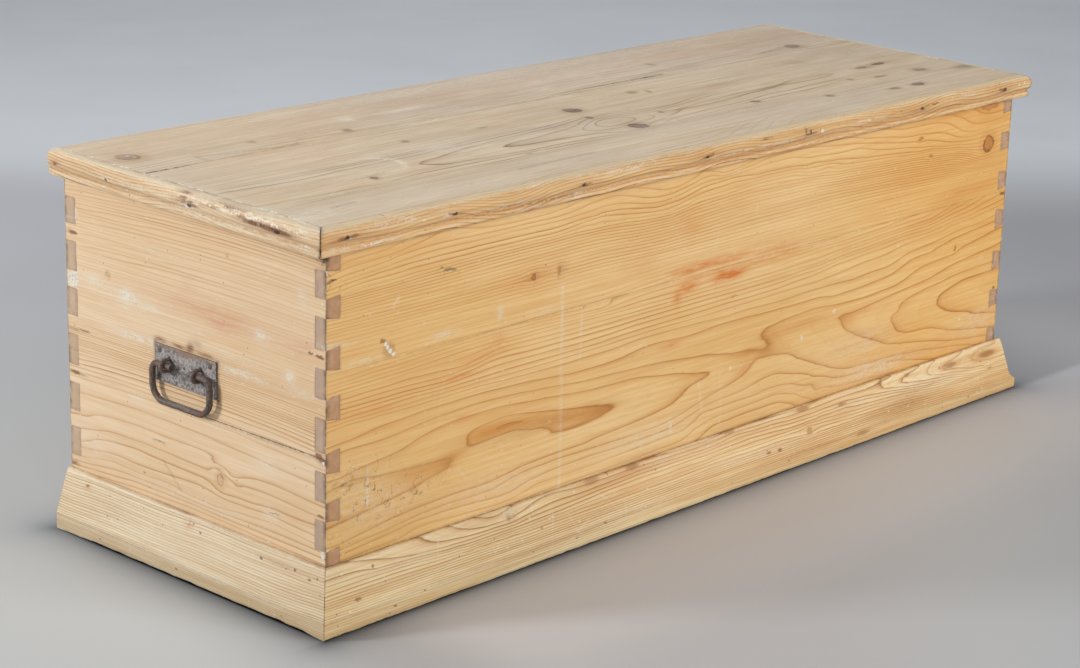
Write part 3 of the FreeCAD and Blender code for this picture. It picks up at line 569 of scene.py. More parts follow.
END_LOWER = [
    (0, [(246, 182.5), (110, 189), (-27, 187), (-240, 176.5)]),
    (1, [(228, 152), (210, 153.5), (187, 162), (155, 165.5), (110, 167.5), (64, 166.5), (19, 166.5), (-22, 166.5), (-40, 163.5), (-54, 152), (-68, 144.5), (-81, 146), (-99, 152), (-131, 156.5), (-154, 157), (-186, 155), (-227, 152.5)]),
    (2, [(228, 134.5), (155, 146), (96, 147), (46, 146), (-9, 144.5), (-34, 142.5), (-43, 147.5), (-54, 148), (-68, 142.5), (-81, 137), (-99, 141.5), (-140, 142.5), (-186, 140), (-227, 138)]),
    (3, [(223, 117.5), (191, 127.5), (160, 133.5), (110, 136), (46, 133.5), (-9, 132.5), (-34, 132), (-49, 126.5), (-72, 124.5), (-109, 123), (-145, 126.5), (-186, 125.5), (-227, 126.5)]),
    (4, [(223, 109.5), (155, 117.5), (96, 116.5), (46, 118.5), (-9, 121), (-45, 118.5), (-90, 115.5), (-145, 116.5), (-227, 112.5)]),
    (5, [(223, 97), (155, 106.5), (96, 105), (46, 107.5), (10, 102.5), (-45, 101.5), (-90, 105), (-145, 107.5), (-227, 102.5)]),
    (7, [(223, 83.5), (110, 91.5), (-9, 91.5), (-227, 88)]),
]
LID_FRONT = [
    (0, [(-409, -101), (-395, -90.5), (-370, -87.5), (-345, -81), (-295, -72), (-245, -67.5), (-189, -64), (-126, -59.5), (-64, -49)]),
    (0, [(-401, -112.5), (-376, -122), (-345, -124), (-295, -128), (-245, -132.5), (-189, -132.5), (-126, -136), (-95, -140.5), (-70, -150)]),
    (-1, [(-256, -97.5), (-232, -90.5), (-189, -86), (-145, -81), (-120, -78), (-89, -69), (-58, -56), (-45, -52)]),
    (-1, [(-254, -102), (-245, -106), (-220, -111), (-170, -114.5), (-126, -120), (-95, -125), (-70, -137.5)]),
    (-2, [(-104, -95), (-95, -86), (-82, -78), (-64, -70), (-39, -62.5)]),
    (-2, [(-103, -100), (-95, -106), (-76, -114)]),
    (-3, [(-74, -92.5), (-69, -83), (-59, -75), (-39, -69)]),
    (-3, [(-70, -100), (-61, -107.5)]),
    (1, [(-670, -61), (-620, -65.5), (-564, -67.5), (-514, -62.5), (-439, -61), (-370, -61), (-295, -58), (-220, -55), (-158, -52), (-95, -45.5), (-58, -39)]),
    (1, [(-482, -100), (-470, -75), (-514, -81), (-539, -90.5), (-576, -105), (-595, -109.5), (-626, -122), (-658, -127), (-692, -134)]),
    (1, [(-608, -139), (-564, -139), (-532, -142.5), (-514, -145), (-482, -140.5), (-439, -136), (-370, -137.5), (-295, -139), (-220, -142), (-158, -144), (-95, -150)]),
    (1, [(44, -56), (69, -64), (112, -64), (144, -57.5), (188, -51), (250, -49)]),
    (2, [(-720, -44), (-658, -48), (-595, -53), (-514, -53), (-439, -52.5), (-370, -52.5), (-295, -49.5), (-220, -45), (-158, -42), (-95, -37.5), (-39, -30)]),
    (2, [(-682, -147), (-620, -150), (-564, -150.5), (-514, -153), (-439, -149), (-370, -147.5), (-295, -150), (-220, -151), (-158, -153), (-95, -159.5)]),
    (2, [(50, -47), (144, -49), (250, -42.5)]),
    (4, [(-720, -31), (-595, -39), (-439, -39), (-295, -36), (-158, -30), (-39, -20)]),
    (4, [(-682, -159.5), (-514, -162.5), (-345, -160), (-158, -164)]),
    (4, [(50, -36), (144, -37.5), (250, -31)]),
    (8, [(-720, 0), (-439, -11), (-158, -3), (-39, 5)]),
    (8, [(-682, -181), (-345, -181), (-95, -187.5)]),
    (16, [(-720, 56), (-439, 44), (-158, 44), (-8, 44)]),
    (16, [(-682, -244), (-345, -237.5), (-8, -244)]),
    (16, [(188, 44), (438, 37.5), (688, 37.5)]),
    (16, [(188, -187.5), (438, -200), (688, -225)]),
    (0, [(47, -123), (94, -119), (144, -114), (188, -114.5), (238, -110.5), (269, -106), (338, -105), (375, -101), (438, -99), (562, -92.5), (675, -81)]),
    (-1, [(81, -87.5), (138, -81), (188, -77), (250, -72), (312, -72), (350, -69), (375, -62.5), (406, -59.5)]),
    (1, [(50, -137.5), (125, -131), (250, -122.5), (350, -119), (438, -112.5)]),
    (3, [(38, -149), (125, -144), (250, -137.5), (438, -131)]),
]


# ---------------------------------------------------------------- node materials
class Mat:
    """Small helper that builds a node tree."""

    def __init__(self, name):
        self.m = bpy.data.materials.new(name)
        self.m.use_nodes = True
        self.t = self.m.node_tree
        self.bsdf = self.t.nodes["Principled BSDF"]
        tc = self.t.nodes.new("ShaderNodeTexCoord")
        self.P = tc.outputs["Object"]
        self.Nn = tc.outputs["Normal"]

    def link(self, a, b):
        self.t.links.new(a, b)

    def _set(self, sock, v):
        if v is None:
            return
        if isinstance(v, bpy.types.NodeSocket):
            self.t.links.new(v, sock)
        else:
            try:
                sock.default_value = v
            except TypeError:
                sock.default_value = tuple(v) + (1.0,)

    def math(self, op, a, b=None, c=None, clamp=False):
        n = self.t.nodes.new("ShaderNodeMath")
        n.operation = op
        n.use_clamp = clamp
        for s, v in zip(n.inputs, (a, b, c)):
            self._set(s, v)
        return n.outputs[0]

    def vec(self, op, a, b=None, scale=None):
        n = self.t.nodes.new("ShaderNodeVectorMath")
        n.operation = op
        self._set(n.inputs[0], a)
        if b is not None:
            self._set(n.inputs[1], b)
        if scale is not None:
            self._set(n.inputs["Scale"], scale)
        return n.outputs["Value"] if op in ("LENGTH", "DOT_PRODUCT", "DISTANCE") else n.outputs["Vector"]

    def noise(self, v, scale=1.0, detail=2.0, rough=0.5, color=False, dist=0.0):
        n = self.t.nodes.new("ShaderNodeTexNoise")
        self._set(n.inputs["Vector"], v)
        n.inputs["Scale"].default_value = scale
        n.inputs["Detail"].default_value = detail
        n.inputs["Roughness"].default_value = rough
        n.inputs["Distortion"].default_value = dist
        return n.outputs["Color"] if color else n.outputs["Fac"]

    def voro(self, v, scale=1.0, feature="F1", rand=1.0, dims="3D"):
        n = self.t.nodes.new("ShaderNodeTexVoronoi")
        n.voronoi_dimensions = dims
        n.feature = feature
        self._set(n.inputs["Vector"], v)
        n.inputs["Scale"].default_value = scale
        n.inputs["Randomness"].default_value = rand
        return n.outputs["Distance"], n.outputs["Color"]

    def white(self, w):
        n = self.t.nodes.new("ShaderNodeTexWhiteNoise")
        n.noise_dimensions = "1D"
        self._set(n.inputs["W"], w)
        return n.outputs["Value"]

    def rng(self, v, a, b, c=0.0, d=1.0, smooth=True):
        n = self.t.nodes.new("ShaderNodeMapRange")
        n.interpolation_type = "SMOOTHSTEP" if smooth else "LINEAR"
        self._set(n.inputs["Value"], v)
        for k, x in (("From Min", a), ("From Max", b), ("To Min", c), ("To Max", d)):
            self._set(n.inputs[k], x)
        return n.outputs["Result"]

    def mix(self, f, a, b, mode="MIX"):
        n = self.t.nodes.new("ShaderNodeMix")
        n.data_type = "RGBA"
        n.blend_type = mode
        n.clamp_factor = True
        self._set(n.inputs[0], f)
        self._set(n.inputs[6], a)
        self._set(n.inputs[7], b)
        return n.outputs[2]

    def attr(self, name):
        n = self.t.nodes.new("ShaderNodeAttribute")
        n.attribute_type = "GEOMETRY"
        n.attribute_name = name
        return n.outputs["Fac"]

    def sep(self, v):
        n = self.t.nodes.new("ShaderNodeSeparateXYZ")
        self._set(n.inputs[0], v)
        return n.outputs

    def com(self, x, y, z=0.0):
        n = self.t.nodes.new("ShaderNodeCombineXYZ")
        for s, v in zip(n.inputs, (x, y, z)):
            self._set(s, v)
        return n.outputs[0]

    def bump(self, h, dist, strength=1.0, normal=None):
        n = self.t.nodes.new("ShaderNodeBump")
        n.inputs["Strength"].default_value = strength
        n.inputs["Distance"].default_value = dist
        self._set(n.inputs["Height"], h)
        if normal is not None:
            self._set(n.inputs["Normal"], normal)
        return n.outputs[0]

    def done(self, color, rough, normal=None, spec=0.4, metal=0.0, coat=0.0, coat_rough=0.3):
        b = self.bsdf
        self._set(b.inputs["Base Color"], color)
        self._set(b.inputs["Roughness"], rough)
        b.inputs["Specular IOR Level"].default_value = spec
        self._set(b.inputs["Metallic"], metal)
        b.inputs["Coat Weight"].default_value = coat
        b.inputs["Coat Roughness"].default_value = coat_rough
        if normal is not None:
            self.link(normal, b.inputs["Normal"])
        return self.m


def srgb(r, g, b):
    return tuple(((c / 255.0) / 12.92 if c / 255.0 <= 0.04045 else ((c / 255.0 + 0.055) / 1.055) ** 2.4)
                 for c in (r, g, b)) + (1.0,)


def dim(c, k):
    return tuple(v * k for v in c[:3]) + (1.0,)


def wood(name, axis, plane, early, mid, late, dark, end, line=0.8, hair=0.5, fibre=0.5, rough=0.5, knots=(),
         knot_col=((168, 108, 62), (128, 82, 48), (98, 64, 44)), streak=0.35, worn=0.0, fleck=0.25, band=0.35,
         dirt=(70, 52, 40), red=(200, 118, 62), pale=(232, 222, 204), cap=None, capamt=0.0, scratch=0.2, bump=1.0,
         spec=0.35, seed=0.0, marks=(), rust=(112, 62, 40), old=None, oldamt=0.0, wk=1.0, vary=0.0, hatch=0.95, tint=(), crisp=False):
    """Pine. axis: 0 or 1, the way the grain runs; plane: the two axes of the show face.
    Rings come from the mesh's gp, gg, ls fields."""
    M = Mat(name)
    P = M.P

    def stretched(along, across, k=1.0):
        v = [across] * 3
        v[axis] = along
        return M.vec("MULTIPLY", M.vec("ADD", P, (seed * k, seed * 0.7 * k, seed * 1.3 * k)), tuple(v))
    sx, sy, sz = M.sep(P)
    ax2 = {"x": sx, "y": sy, "z": sz}
    uv = M.com(ax2[plane[0]], ax2[plane[1]], seed)
    fine = M.noise(stretched(16.0, 700.0), 1.0, 3.0, 0.62)
    thread = M.noise(stretched(5.0, 230.0), 1.0, 3.0, 0.55)
    broad = M.noise(stretched(1.6, 40.0), 1.0, 2.0, 0.5)
    soft = M.noise(stretched(2.2, 7.5), 1.0, 3.0, 0.55)
    wob = M.noise(stretched(8.0, 70.0), 1.0, 3.0, 0.55)
    gp, gg = M.attr("gp"), M.attr("gg")
    ring = M.math("ADD", gp, M.math("MULTIPLY", M.math("SUBTRACT", wob, 0.5), M.math("ADD", M.math("MULTIPLY", gg, 2.4), 0.10)))
    t = M.math("FRACT", ring)
    rid = M.white(M.math("FLOOR", ring))
    w1 = M.math("ADD", M.math("MULTIPLY", gg, 0.75 * wk), 0.10)
    w2 = M.math("ADD", M.math("MULTIPLY", gg, 0.18 * wk), 0.010)
    w0 = M.math("ADD", M.math("MULTIPLY", gg, 0.40 * wk), 0.022)
    tm = M.math("SUBTRACT", t, 1.0)
    up = M.math("EXPONENT", M.math("DIVIDE", tm, w1))
    dn = M.math("EXPONENT", M.math("DIVIDE", M.math("MULTIPLY", t, -1.0), w2))
    lw = M.math("MAXIMUM", up, dn)
    nar = M.math("MAXIMUM", M.math("EXPONENT", M.math("DIVIDE", tm, w0)), dn)
    fade = M.rng(M.noise(stretched(3.0, 26.0), 1.0, 3.0, 0.55), 0.32, 0.64, 0.5, 1.1)
    if vary:
        pick = M.math("ADD", M.math("MULTIPLY", M.math("POWER", rid, 3.0), 1.5 * vary), 0.62 - 0.42 * vary)
    else:
        pick = M.math("ADD", M.math("MULTIPLY", rid, 0.65), 0.45)
    amp = M.math("MULTIPLY", M.math("MULTIPLY", pick, fade), M.attr("ls"))
    lwide = M.math("MULTIPLY", M.math("MULTIPLY", lw, amp), line, clamp=True)
    lnar = M.math("MULTIPLY", M.math("MULTIPLY", nar, amp), hair, clamp=True)
    # in-between rings, fainter
    t2 = M.math("FRACT", M.math("ADD", M.math("MULTIPLY", ring, 2.0), M.math("MULTIPLY", rid, 0.35)))
    l2 = M.math("EXPONENT", M.math("DIVIDE", M.math("SUBTRACT", t2, 1.0), 0.16))
    base = M.mix(M.rng(soft, 0.3, 0.7), early, mid)
    base = M.mix(M.math("MULTIPLY", M.rng(thread, 0.35, 0.72), fibre * 0.55), base, late)
    base = M.mix(M.math("MULTIPLY", M.rng(fine, 0.42, 0.75), fibre * 0.40), base, late)
    base = M.mix(M.math("MULTIPLY", M.rng(fine, 0.5, 0.25), fibre * 0.30), base, M.mix(0.5, early, (1.0, 0.96, 0.88, 1.0)))
    base = M.mix(M.math("MULTIPLY", M.rng(broad, 0.45, 0.8), streak), base, late)
    base = M.mix(M.math("MULTIPLY", M.math("MULTIPLY", l2, M.attr("ls")), band * 0.5), base, late)
    base = M.mix(M.math("MULTIPLY", M.attr("tan"), M.rng(thread, 0.25, 0.6, 0.75, 1.05), clamp=True), base, late)
    col = M.mix(lwide, base, late)
    col = M.mix(lnar, col, dark)
    if old is not None:
        # weathered, greyer wood in drifts
        ow = M.math("MULTIPLY", M.rng(M.noise(stretched(3.0, 9.0, 1.7), 1.0, 4.0, 0.6), 0.38, 0.62), oldamt)
        col = M.mix(ow, col, M.mix(lwide, old, dim(old, 0.6)))
    c_ax = M.math("ABSOLUTE", M.sep(M.Nn)[axis])
    eg = M.rng(c_ax, 0.55, 0.8)
    if knots:
        pre = {"xz": (1, 0, 1), "yz": (0, 1, 1), "xy": (1, 1, 0)}[plane]
        jig = M.vec("SCALE", M.vec("SUBTRACT", M.noise(P, 85.0, 3.0, 0.55, color=True), (0.5, 0.5, 0.5)), scale=0.010)
        flat = M.vec("MULTIPLY", M.vec("ADD", P, jig), tuple(float(c) for c in pre))
        dmin, tone = None, None
        for (a, b, ra, rb, kk) in knots:
            c3 = {"xz": (a, 0, b), "yz": (0, a, b), "xy": (a, b, 0)}[plane]
            r3 = {"xz": (ra, 1, rb), "yz": (1, ra, rb), "xy": (ra, rb, 1)}[plane]
            c3 = (c3[0] * 0.001, (c3[1] + (YS if plane != "xz" else 0)) * 0.001, c3[2] * 0.001)
            d = M.vec("LENGTH", M.vec("MULTIPLY", M.vec("SUBTRACT", flat, c3), tuple(1000.0 / x for x in r3)))
            m = M.math("MULTIPLY", M.rng(d, 1.04, 0.84), kk)
            tone = m if tone is None else M.math("MAXIMUM", tone, m)
            dmin = d if dmin is None else M.math("MINIMUM", dmin, d)
        rings = M.math("MULTIPLY", M.math("ADD", M.math("SINE", M.math("MULTIPLY", dmin, 21.0)), 1.0), 0.5)
        core = M.mix(M.math("MULTIPLY", rings, 0.55), srgb(*knot_col[0]), srgb(*knot_col[1]))
        core = M.mix(M.math("MULTIPLY", M.rng(M.noise(P, 260.0, 3.0, 0.6), 0.35, 0.7), 0.5), core, srgb(*knot_col[1]))
        core = M.mix(M.math("MULTIPLY", M.rng(dmin, 0.62, 0.92), M.rng(M.noise(P, 120.0, 2.0, 0.5), 0.36, 0.60, 0.5, 1.0)), core, srgb(*knot_col[2]))
        halo = M.rng(dmin, 2.3, 0.9, 0.0, 0.40)
        col = M.mix(halo, col, late)
        col = M.mix(tone, col, core)
    # end grain: close rings and open pores
    pore = M.noise(P, 1400.0, 2.0, 0.6)
    te = M.math("FRACT", M.math("ADD", M.attr("ge"), M.math("MULTIPLY", M.noise(P, 30.0, 2.0, 0.5), 0.9)))
    le = M.math("EXPONENT", M.math("DIVIDE", M.math("SUBTRACT", te, 1.0), 0.28))
    ecol = M.mix(M.math("MULTIPLY", le, hatch), end, dim(end, 0.42))
    ecol = M.mix(M.math("MULTIPLY", M.rng(pore, 0.42, 0.75), 0.22), ecol, dim(end, 0.6))
    ecol = M.mix(M.math("MULTIPLY", M.rng(M.noise(P, 120.0, 4.0, 0.65), 0.40, 0.70), 0.20), ecol, early)
    col = M.mix(eg, col, ecol)
    for tn in tint:
        tf = M.rng(ax2[tn[0]], tn[1], tn[2])
        if len(tn) > 4:
            tf = M.math("MULTIPLY", tf, M.rng(ax2[tn[4]], tn[5], tn[6]))
        col = M.mix(tf, col, tn[3] + (1.0,), mode="MULTIPLY")
    if cap is not None:
        cz = M.rng(M.sep(M.Nn)[2], 0.55, 0.92)
        cw = M.math("MULTIPLY", cz, M.rng(M.noise(stretched(20.0, 120.0), 1.0, 3.0, 0.6), 0.25, 0.6, 0.55, 1.0))
        ccol = M.mix(M.math("MULTIPLY", M.rng(thread, 0.35, 0.75), 0.5), cap, dim(cap, 0.62))
        col = M.mix(M.math("MULTIPLY", cw, capamt), col, ccol)
    # marks laid on the surface; the dirt mask also carries painted shade
    blot = M.noise(P, 150.0, 4.0, 0.65)
    spot = M.noise(P, 420.0, 3.0, 0.6)
    slick = M.noise(stretched(60.0, 330.0), 1.0, 4.0, 0.65)
    dirt_and_shade_f = M.math("MULTIPLY", M.attr("dirt"), M.rng(blot, 0.44, 0.54, 0.10, 1.4) if crisp else M.rng(blot, 0.3, 0.62, 0.45, 1.25), clamp=True)
    red_f = M.math("MULTIPLY", M.attr("red"), M.rng(M.noise(stretched(26.0, 230.0), 1.0, 4.0, 0.65), 0.3, 0.68, 0.25, 1.25), clamp=True)
    pale_n = M.math("ADD", M.math("MULTIPLY", slick, 0.6), M.math("MULTIPLY", spot, 0.4))
    pale_f = M.math("MULTIPLY", M.attr("pale"), M.rng(pale_n, 0.47, 0.54, 0.04, 1.5) if crisp else M.rng(pale_n, 0.40, 0.60, 0.05, 1.25), clamp=True)
    rust_f = M.math("MULTIPLY", M.attr("rust"), M.rng(M.noise(stretched(90.0, 420.0), 1.0, 3.0, 0.6), 0.3, 0.6, 0.4, 1.2), clamp=True)
    col = M.mix(red_f, col, srgb(*red))
    col = M.mix(pale_f, col, srgb(*pale))
    col = M.mix(rust_f, col, srgb(*rust))
    col = M.mix(dirt_and_shade_f, col, srgb(*dirt))
    # crisp small marks: (kind, u, v, radius u, radius v, amount)
    if marks:
        pre = {"xz": (1, 0, 1), "yz": (0, 1, 1), "xy": (1, 1, 0)}[plane]
        jig = M.vec("SCALE", M.vec("SUBTRACT", M.noise(P, 260.0, 3.0, 0.6, color=True), (0.5, 0.5, 0.5)), scale=0.0055)
        mflat = M.vec("MULTIPLY", M.vec("ADD", P, jig), tuple(float(c) for c in pre))
        for kind, kcol in (("brown", (142, 96, 58)), ("dark", (58, 44, 36)), ("white", (236, 230, 216)), ("grey", (120, 104, 88))):
            f = None
            for (kd, a, b, ra, rb, kk) in marks:
                if kd != kind:
                    continue
                c3 = {"xz": (a, 0, b), "yz": (0, a, b), "xy": (a, b, 0)}[plane]
                r3 = {"xz": (ra, 1, rb), "yz": (1, ra, rb), "xy": (ra, rb, 1)}[plane]
                c3 = (c3[0] * 0.001, (c3[1] + (YS if plane != "xz" else 0)) * 0.001, c3[2] * 0.001)
                d = M.vec("LENGTH", M.vec("MULTIPLY", M.vec("SUBTRACT", mflat, c3), tuple(1000.0 / x for x in r3)))
                m = M.math("MULTIPLY", M.rng(d, 1.15, 0.55), kk)
                f = m if f is None else M.math("MAXIMUM", f, m)
            if f is not None:
                f = M.math("MULTIPLY", f, M.math("SUBTRACT", 1.0, eg))
                col = M.mix(f, col, srgb(*kcol))
    # scattered flecks, pits and hair scratches
    d1, c1 = M.voro(M.vec("MULTIPLY", M.vec("ADD", uv, (seed + 0.31, 1.7, 0.0)), (0.36, 1.0, 1.0)), 62.0, dims="2D")
    s1 = M.math("MULTIPLY", M.rng(d1, 0.075, 0.030), M.math("GREATER_THAN", M.sep(c1)[0], 0.88))
    col = M.mix(M.math("MULTIPLY", s1, min(1.0, fleck * 2.2)), col, srgb(*pale))
    d2, c2 = M.voro(M.vec("ADD", uv, (2.7, seed, 0.0)), 48.0, dims="2D")
    s2 = M.math("MULTIPLY", M.rng(d2, 0.055, 0.028), M.math("GREATER_THAN", M.sep(c2)[0], 0.93))
    col = M.mix(M.math("MULTIPLY", s2, min(1.0, fleck * 2.6)), col, srgb(96, 72, 52))
    fl = M.rng(M.noise(P, 520.0, 2.0, 0.5), 0.70, 0.78)
    col = M.mix(M.math("MULTIPLY", fl, fleck), col, srgb(*pale))
    if scratch:
        for ang, off in ((0.35, 0.0), (-0.9, 5.0), (1.35, 9.0)):
            ca, sa = math.cos(ang), math.sin(ang)
            u2 = M.math("ADD", M.math("MULTIPLY", ax2[plane[0]], ca), M.math("MULTIPLY", ax2[plane[1]], sa))
            v2 = M.math("SUBTRACT", M.math("MULTIPLY", ax2[plane[1]], ca), M.math("MULTIPLY", ax2[plane[0]], sa))
            nn = M.noise(M.com(M.math("MULTIPLY", u2, 5.0), M.math("MULTIPLY", v2, 55.0), off + seed), 1.0, 1.0, 0.4)
            ln = M.rng(M.math("ABSOLUTE", M.math("SUBTRACT", nn, 0.5)), 0.006, 0.0015)
            gate = M.rng(M.noise(M.vec("ADD", P, (off, 0.3, 1.1)), 9.0, 2.0, 0.5), 0.56, 0.66)
            col = M.mix(M.math("MULTIPLY", M.math("MULTIPLY", ln, gate), scratch), col, srgb(*pale))
    if worn:
        wn = M.rng(M.noise(stretched(11.0, 34.0, 0.6), 1.0, 5.0, 0.66), 0.44, 0.68)
        col = M.mix(M.math("MULTIPLY", wn, worn), col, srgb(*pale))
    # dark joint lines, and white filler
    ed = M.math("MULTIPLY", M.attr("edge"), M.rng(M.noise(P, 110.0, 4.0, 0.7), 0.34, 0.62, 0.15, 1.25), clamp=True)
    col = M.mix(ed, col, srgb(70, 50, 36))
    # hair cracks and rubbed-in brown scribbles
    sc = M.rng(M.math("ABSOLUTE", M.math("SUBTRACT", M.noise(P, 46.0, 3.0, 0.55), 0.5)), 0.014, 0.003)
    sc = M.math("MULTIPLY", M.math("MULTIPLY", sc, M.rng(M.noise(P, 70.0, 2.0, 0.5), 0.46, 0.58)), M.attr("scuff"), clamp=True)
    col = M.mix(sc, col, srgb(136, 98, 66))
    fi = M.rng(M.math("MULTIPLY", M.attr("fill"), M.rng(M.noise(P, 150.0, 4.0, 0.65), 0.36, 0.62, 0.25, 1.35)), 0.42, 0.55)
    col = M.mix(fi, col, M.mix(M.rng(spot, 0.45, 0.62), srgb(240, 236, 226), srgb(204, 190, 168)))
    # relief: open earlywood, raised latewood, brush marks
    h = M.math("ADD", M.math("MULTIPLY", lw, 0.5), M.math("MULTIPLY", fine, 0.6))
    h = M.math("ADD", h, M.math("MULTIPLY", thread, 0.6))
    h = M.math("ADD", h, M.math("MULTIPLY", M.noise(P, 60.0, 3.0, 0.6), 1.2))
    h = M.math("SUBTRACT", h, M.math("MULTIPLY", dirt_and_shade_f, 0.8))
    h = M.math("SUBTRACT", h, M.math("MULTIPLY", ed, 1.5))
    h = M.math("ADD", h, M.math("MULTIPLY", fi, 1.5))
    h = M.math("SUBTRACT", h, M.math("MULTIPLY", s2, 1.0))
    h = M.math("SUBTRACT", h, M.math("MULTIPLY", M.math("MULTIPLY", eg, pore), 1.5))
    nrm = M.bump(h, 0.00035 * bump, 0.6)
    rg = M.rng(soft, 0.2, 0.8, rough - 0.06, rough + 0.08)
    rg = M.math("ADD", rg, M.math("MULTIPLY", eg, 0.15))
    return M.done(col, rg, nrm, spec=spec)


def iron(name, dark, mid, rust, rust_amt=0.4, rough=0.55, pit=1.0, speck=0.35, metal=0.0, light=(186, 178, 166), grain=1100.0):
    """Old wrought or sheet iron: pitted, rubbed, with rust in the hollows."""
    M = Mat(name)
    P = M.P
    a = M.noise(P, 260.0, 5.0, 0.65)
    b = M.noise(P, grain, 4.0, 0.7)
    c = M.noise(P, 90.0, 3.0, 0.6)
    col = M.mix(M.rng(a, 0.38, 0.62), dark, mid)
    col = M.mix(M.math("MULTIPLY", M.rng(b, 0.52, 0.66), speck), col, srgb(*light))
    col = M.mix(M.math("MULTIPLY", M.rng(b, 0.46, 0.36), speck), col, dark)
    r = M.math("MULTIPLY", M.rng(M.math("ADD", M.math("MULTIPLY", c, 0.6), M.math("MULTIPLY", a, 0.4)), 0.49, 0.6), rust_amt)
    r = M.math("ADD", r, M.attr("rust"), clamp=True)
    col = M.mix(r, col, rust)
    # dark mix: dirt, and painted shade on undersides and side faces; light mix: rubbed wear, and painted highlight on
    # the bail's top faces
    col = M.mix(M.math("MULTIPLY", M.attr("dirt"), 1.0, clamp=True), col, srgb(30, 24, 20))
    col = M.mix(M.math("MULTIPLY", M.attr("rub"), M.rng(b, 0.35, 0.6, 0.4, 1.2), clamp=True), col, srgb(*light))
    h = M.math("ADD", M.math("MULTIPLY", a, 1.0), M.math("MULTIPLY", b, 0.35))
    h = M.math("SUBTRACT", h, M.math("MULTIPLY", M.rng(M.voro(P, 420.0)[0], 0.25, 0.0), 0.5))
    nrm = M.bump(h, 0.0007 * pit, 0.8)
    rg = M.rng(a, 0.3, 0.7, rough - 0.12, rough + 0.15)
    mt = M.math("MULTIPLY", M.math("SUBTRACT", 1.0, r, clamp=True), metal)
    return M.done(col, rg, nrm, spec=0.5, metal=mt)


FRONT_KNOTS = [(-351, 369, 5.5, 5.5, 0.95), (-305, 368, 2.6, 6, 0.6), (640.5, 395, 15.0, 13.5, 0.9), (637, 455, 24, 10, 0.5),
               (462, 426.5, 6.5, 2.6, 0.75), (492, 397.5, 5.0, 2.5, 0.7), (571, 244.5, 3.0, 4.5, 0.8)]
MATS = {}
MATS["front_pine"] = wood(
    "front_pine", 0, "xz", srgb(243, 209, 151), srgb(235, 193, 127), srgb(212, 149, 76), srgb(170, 104, 42),
    srgb(206, 176, 154), line=1.0, hair=0.84, fibre=0.55, tint=(("x", 0.15, 0.50, (1.03, 0.95, 0.77)), ("x", -0.45, -0.62, (0.935, 0.95, 0.94), "z", 0.24, 0.14)), streak=0.18, knots=FRONT_KNOTS, rough=0.5, red=(214, 122, 50), band=0.30,
    fleck=0.18, scratch=0.10,
    knot_col=((206, 144, 84), (172, 110, 60), (108, 68, 42)),
    marks=[("brown", 628.5, 394, 2.4, 9.5, 0.8), ("brown", 640, 382.5, 9, 1.8, 0.6), ("brown", 652, 399, 2.0, 7, 0.45), ("brown", 641, 457, 17, 4.5, 0.6), ("brown", 47, 269, 10, 1.8, 0.35), ("brown", -607, 338, 5, 3.4, 0.75),
           ("brown", -599, 330, 4, 2, 0.5),
           ("brown", -597, 325, 12, 11, 0.35), ("white", -602.5, 333, 2.6, 3.0, 0.9), ("white", -599, 328.5, 2.8, 3.4, 0.9), ("white", -594.5, 323, 3.4, 3.4, 0.95),
           ("white", -589.5, 318.5, 3.4, 2.2, 0.9), ("grey", -500, 405, 9, 2.4, 0.75), ("grey", -491, 403, 5, 2.0, 0.6),
           ("grey", -511, 409, 3, 1.6, 0.7), ("brown", -687, 425.5, 8, 2.0, 0.75), ("dark", -684, 426, 4.5, 1.1, 0.8), ("dark", -692, 423, 3, 1.2, 0.7),
           ("white", 203, 179, 2.6, 5, 0.6), ("white", 46, 167, 3.5, 3.0, 0.6), ("white", 276, 204, 4.5, 3, 0.55), ("white", 596, 129, 4, 3, 0.5),
           ("white", 423, 274, 4, 1.5, 0.6), ("dark", -330, 380, 1.2, 1.2, 0.7), ("dark", 688, 310, 8, 3, 0.7), ("dark", 684, 163, 4, 3, 0.7),
           ("brown", 206, 52, 0.1, 0.1, 0.0)])
MATS["end_pine"] = wood(
    "end_pine", 1, "yz", srgb(242, 217, 184), srgb(235, 205, 166), srgb(210, 162, 108), srgb(170, 118, 70),
    srgb(200, 152, 112), line=0.92, hair=0.78, fibre=0.48, streak=0.18, seed=1.3, band=0.30, fleck=0.26, scratch=0.25,
    red=(214, 158, 126), knot_col=((226, 190, 154), (206, 164, 126), (150, 108, 78)),
    knots=[(-54, 138, 7.0, 8.5, 0.95), (157, 352.5, 4, 4, 0.7), (-71, 422.5, 2.0, 2.0, 0.9)], rough=0.52,
    marks=[("brown", 207, 268.5, 13, 1.2, 0.75), ("brown", 226, 393, 9, 3.0, 0.9), ("brown", -216, 335, 5, 1.8, 0.95), ("brown", -233, 334, 8, 2.6, 0.95),
           ("dark", -226, 334, 1.4, 1.0, 0.7), ("brown", -231, 213, 9, 4, 0.9), ("brown", -238, 207, 5, 4, 0.9), ("brown", 228, 209, 11, 2.6, 0.85),
           ("brown", -234, 140, 7, 2.2, 0.8), ("brown", 238, 85, 6, 2.6, 0.7), ("dark", -99, 307, 1.2, 1.2, 0.8), ("dark", -131, 338, 1.0, 1.0, 0.8),
           ("dark", 116, 331, 1.0, 1.0, 0.8), ("grey", -152, 121, 12, 1.0, 0.6), ("grey", 62, 158.5, 13, 0.9, 0.5), ("brown", 92, 109, 3, 1.4, 0.6),
           ("white", 104, 204.5, 18, 1.2, 0.6), ("white", 122, 331, 8, 5, 0.55), ("white", -130, 337, 9, 4.5, 0.45), ("white", -180, 299, 7, 5, 0.5)])
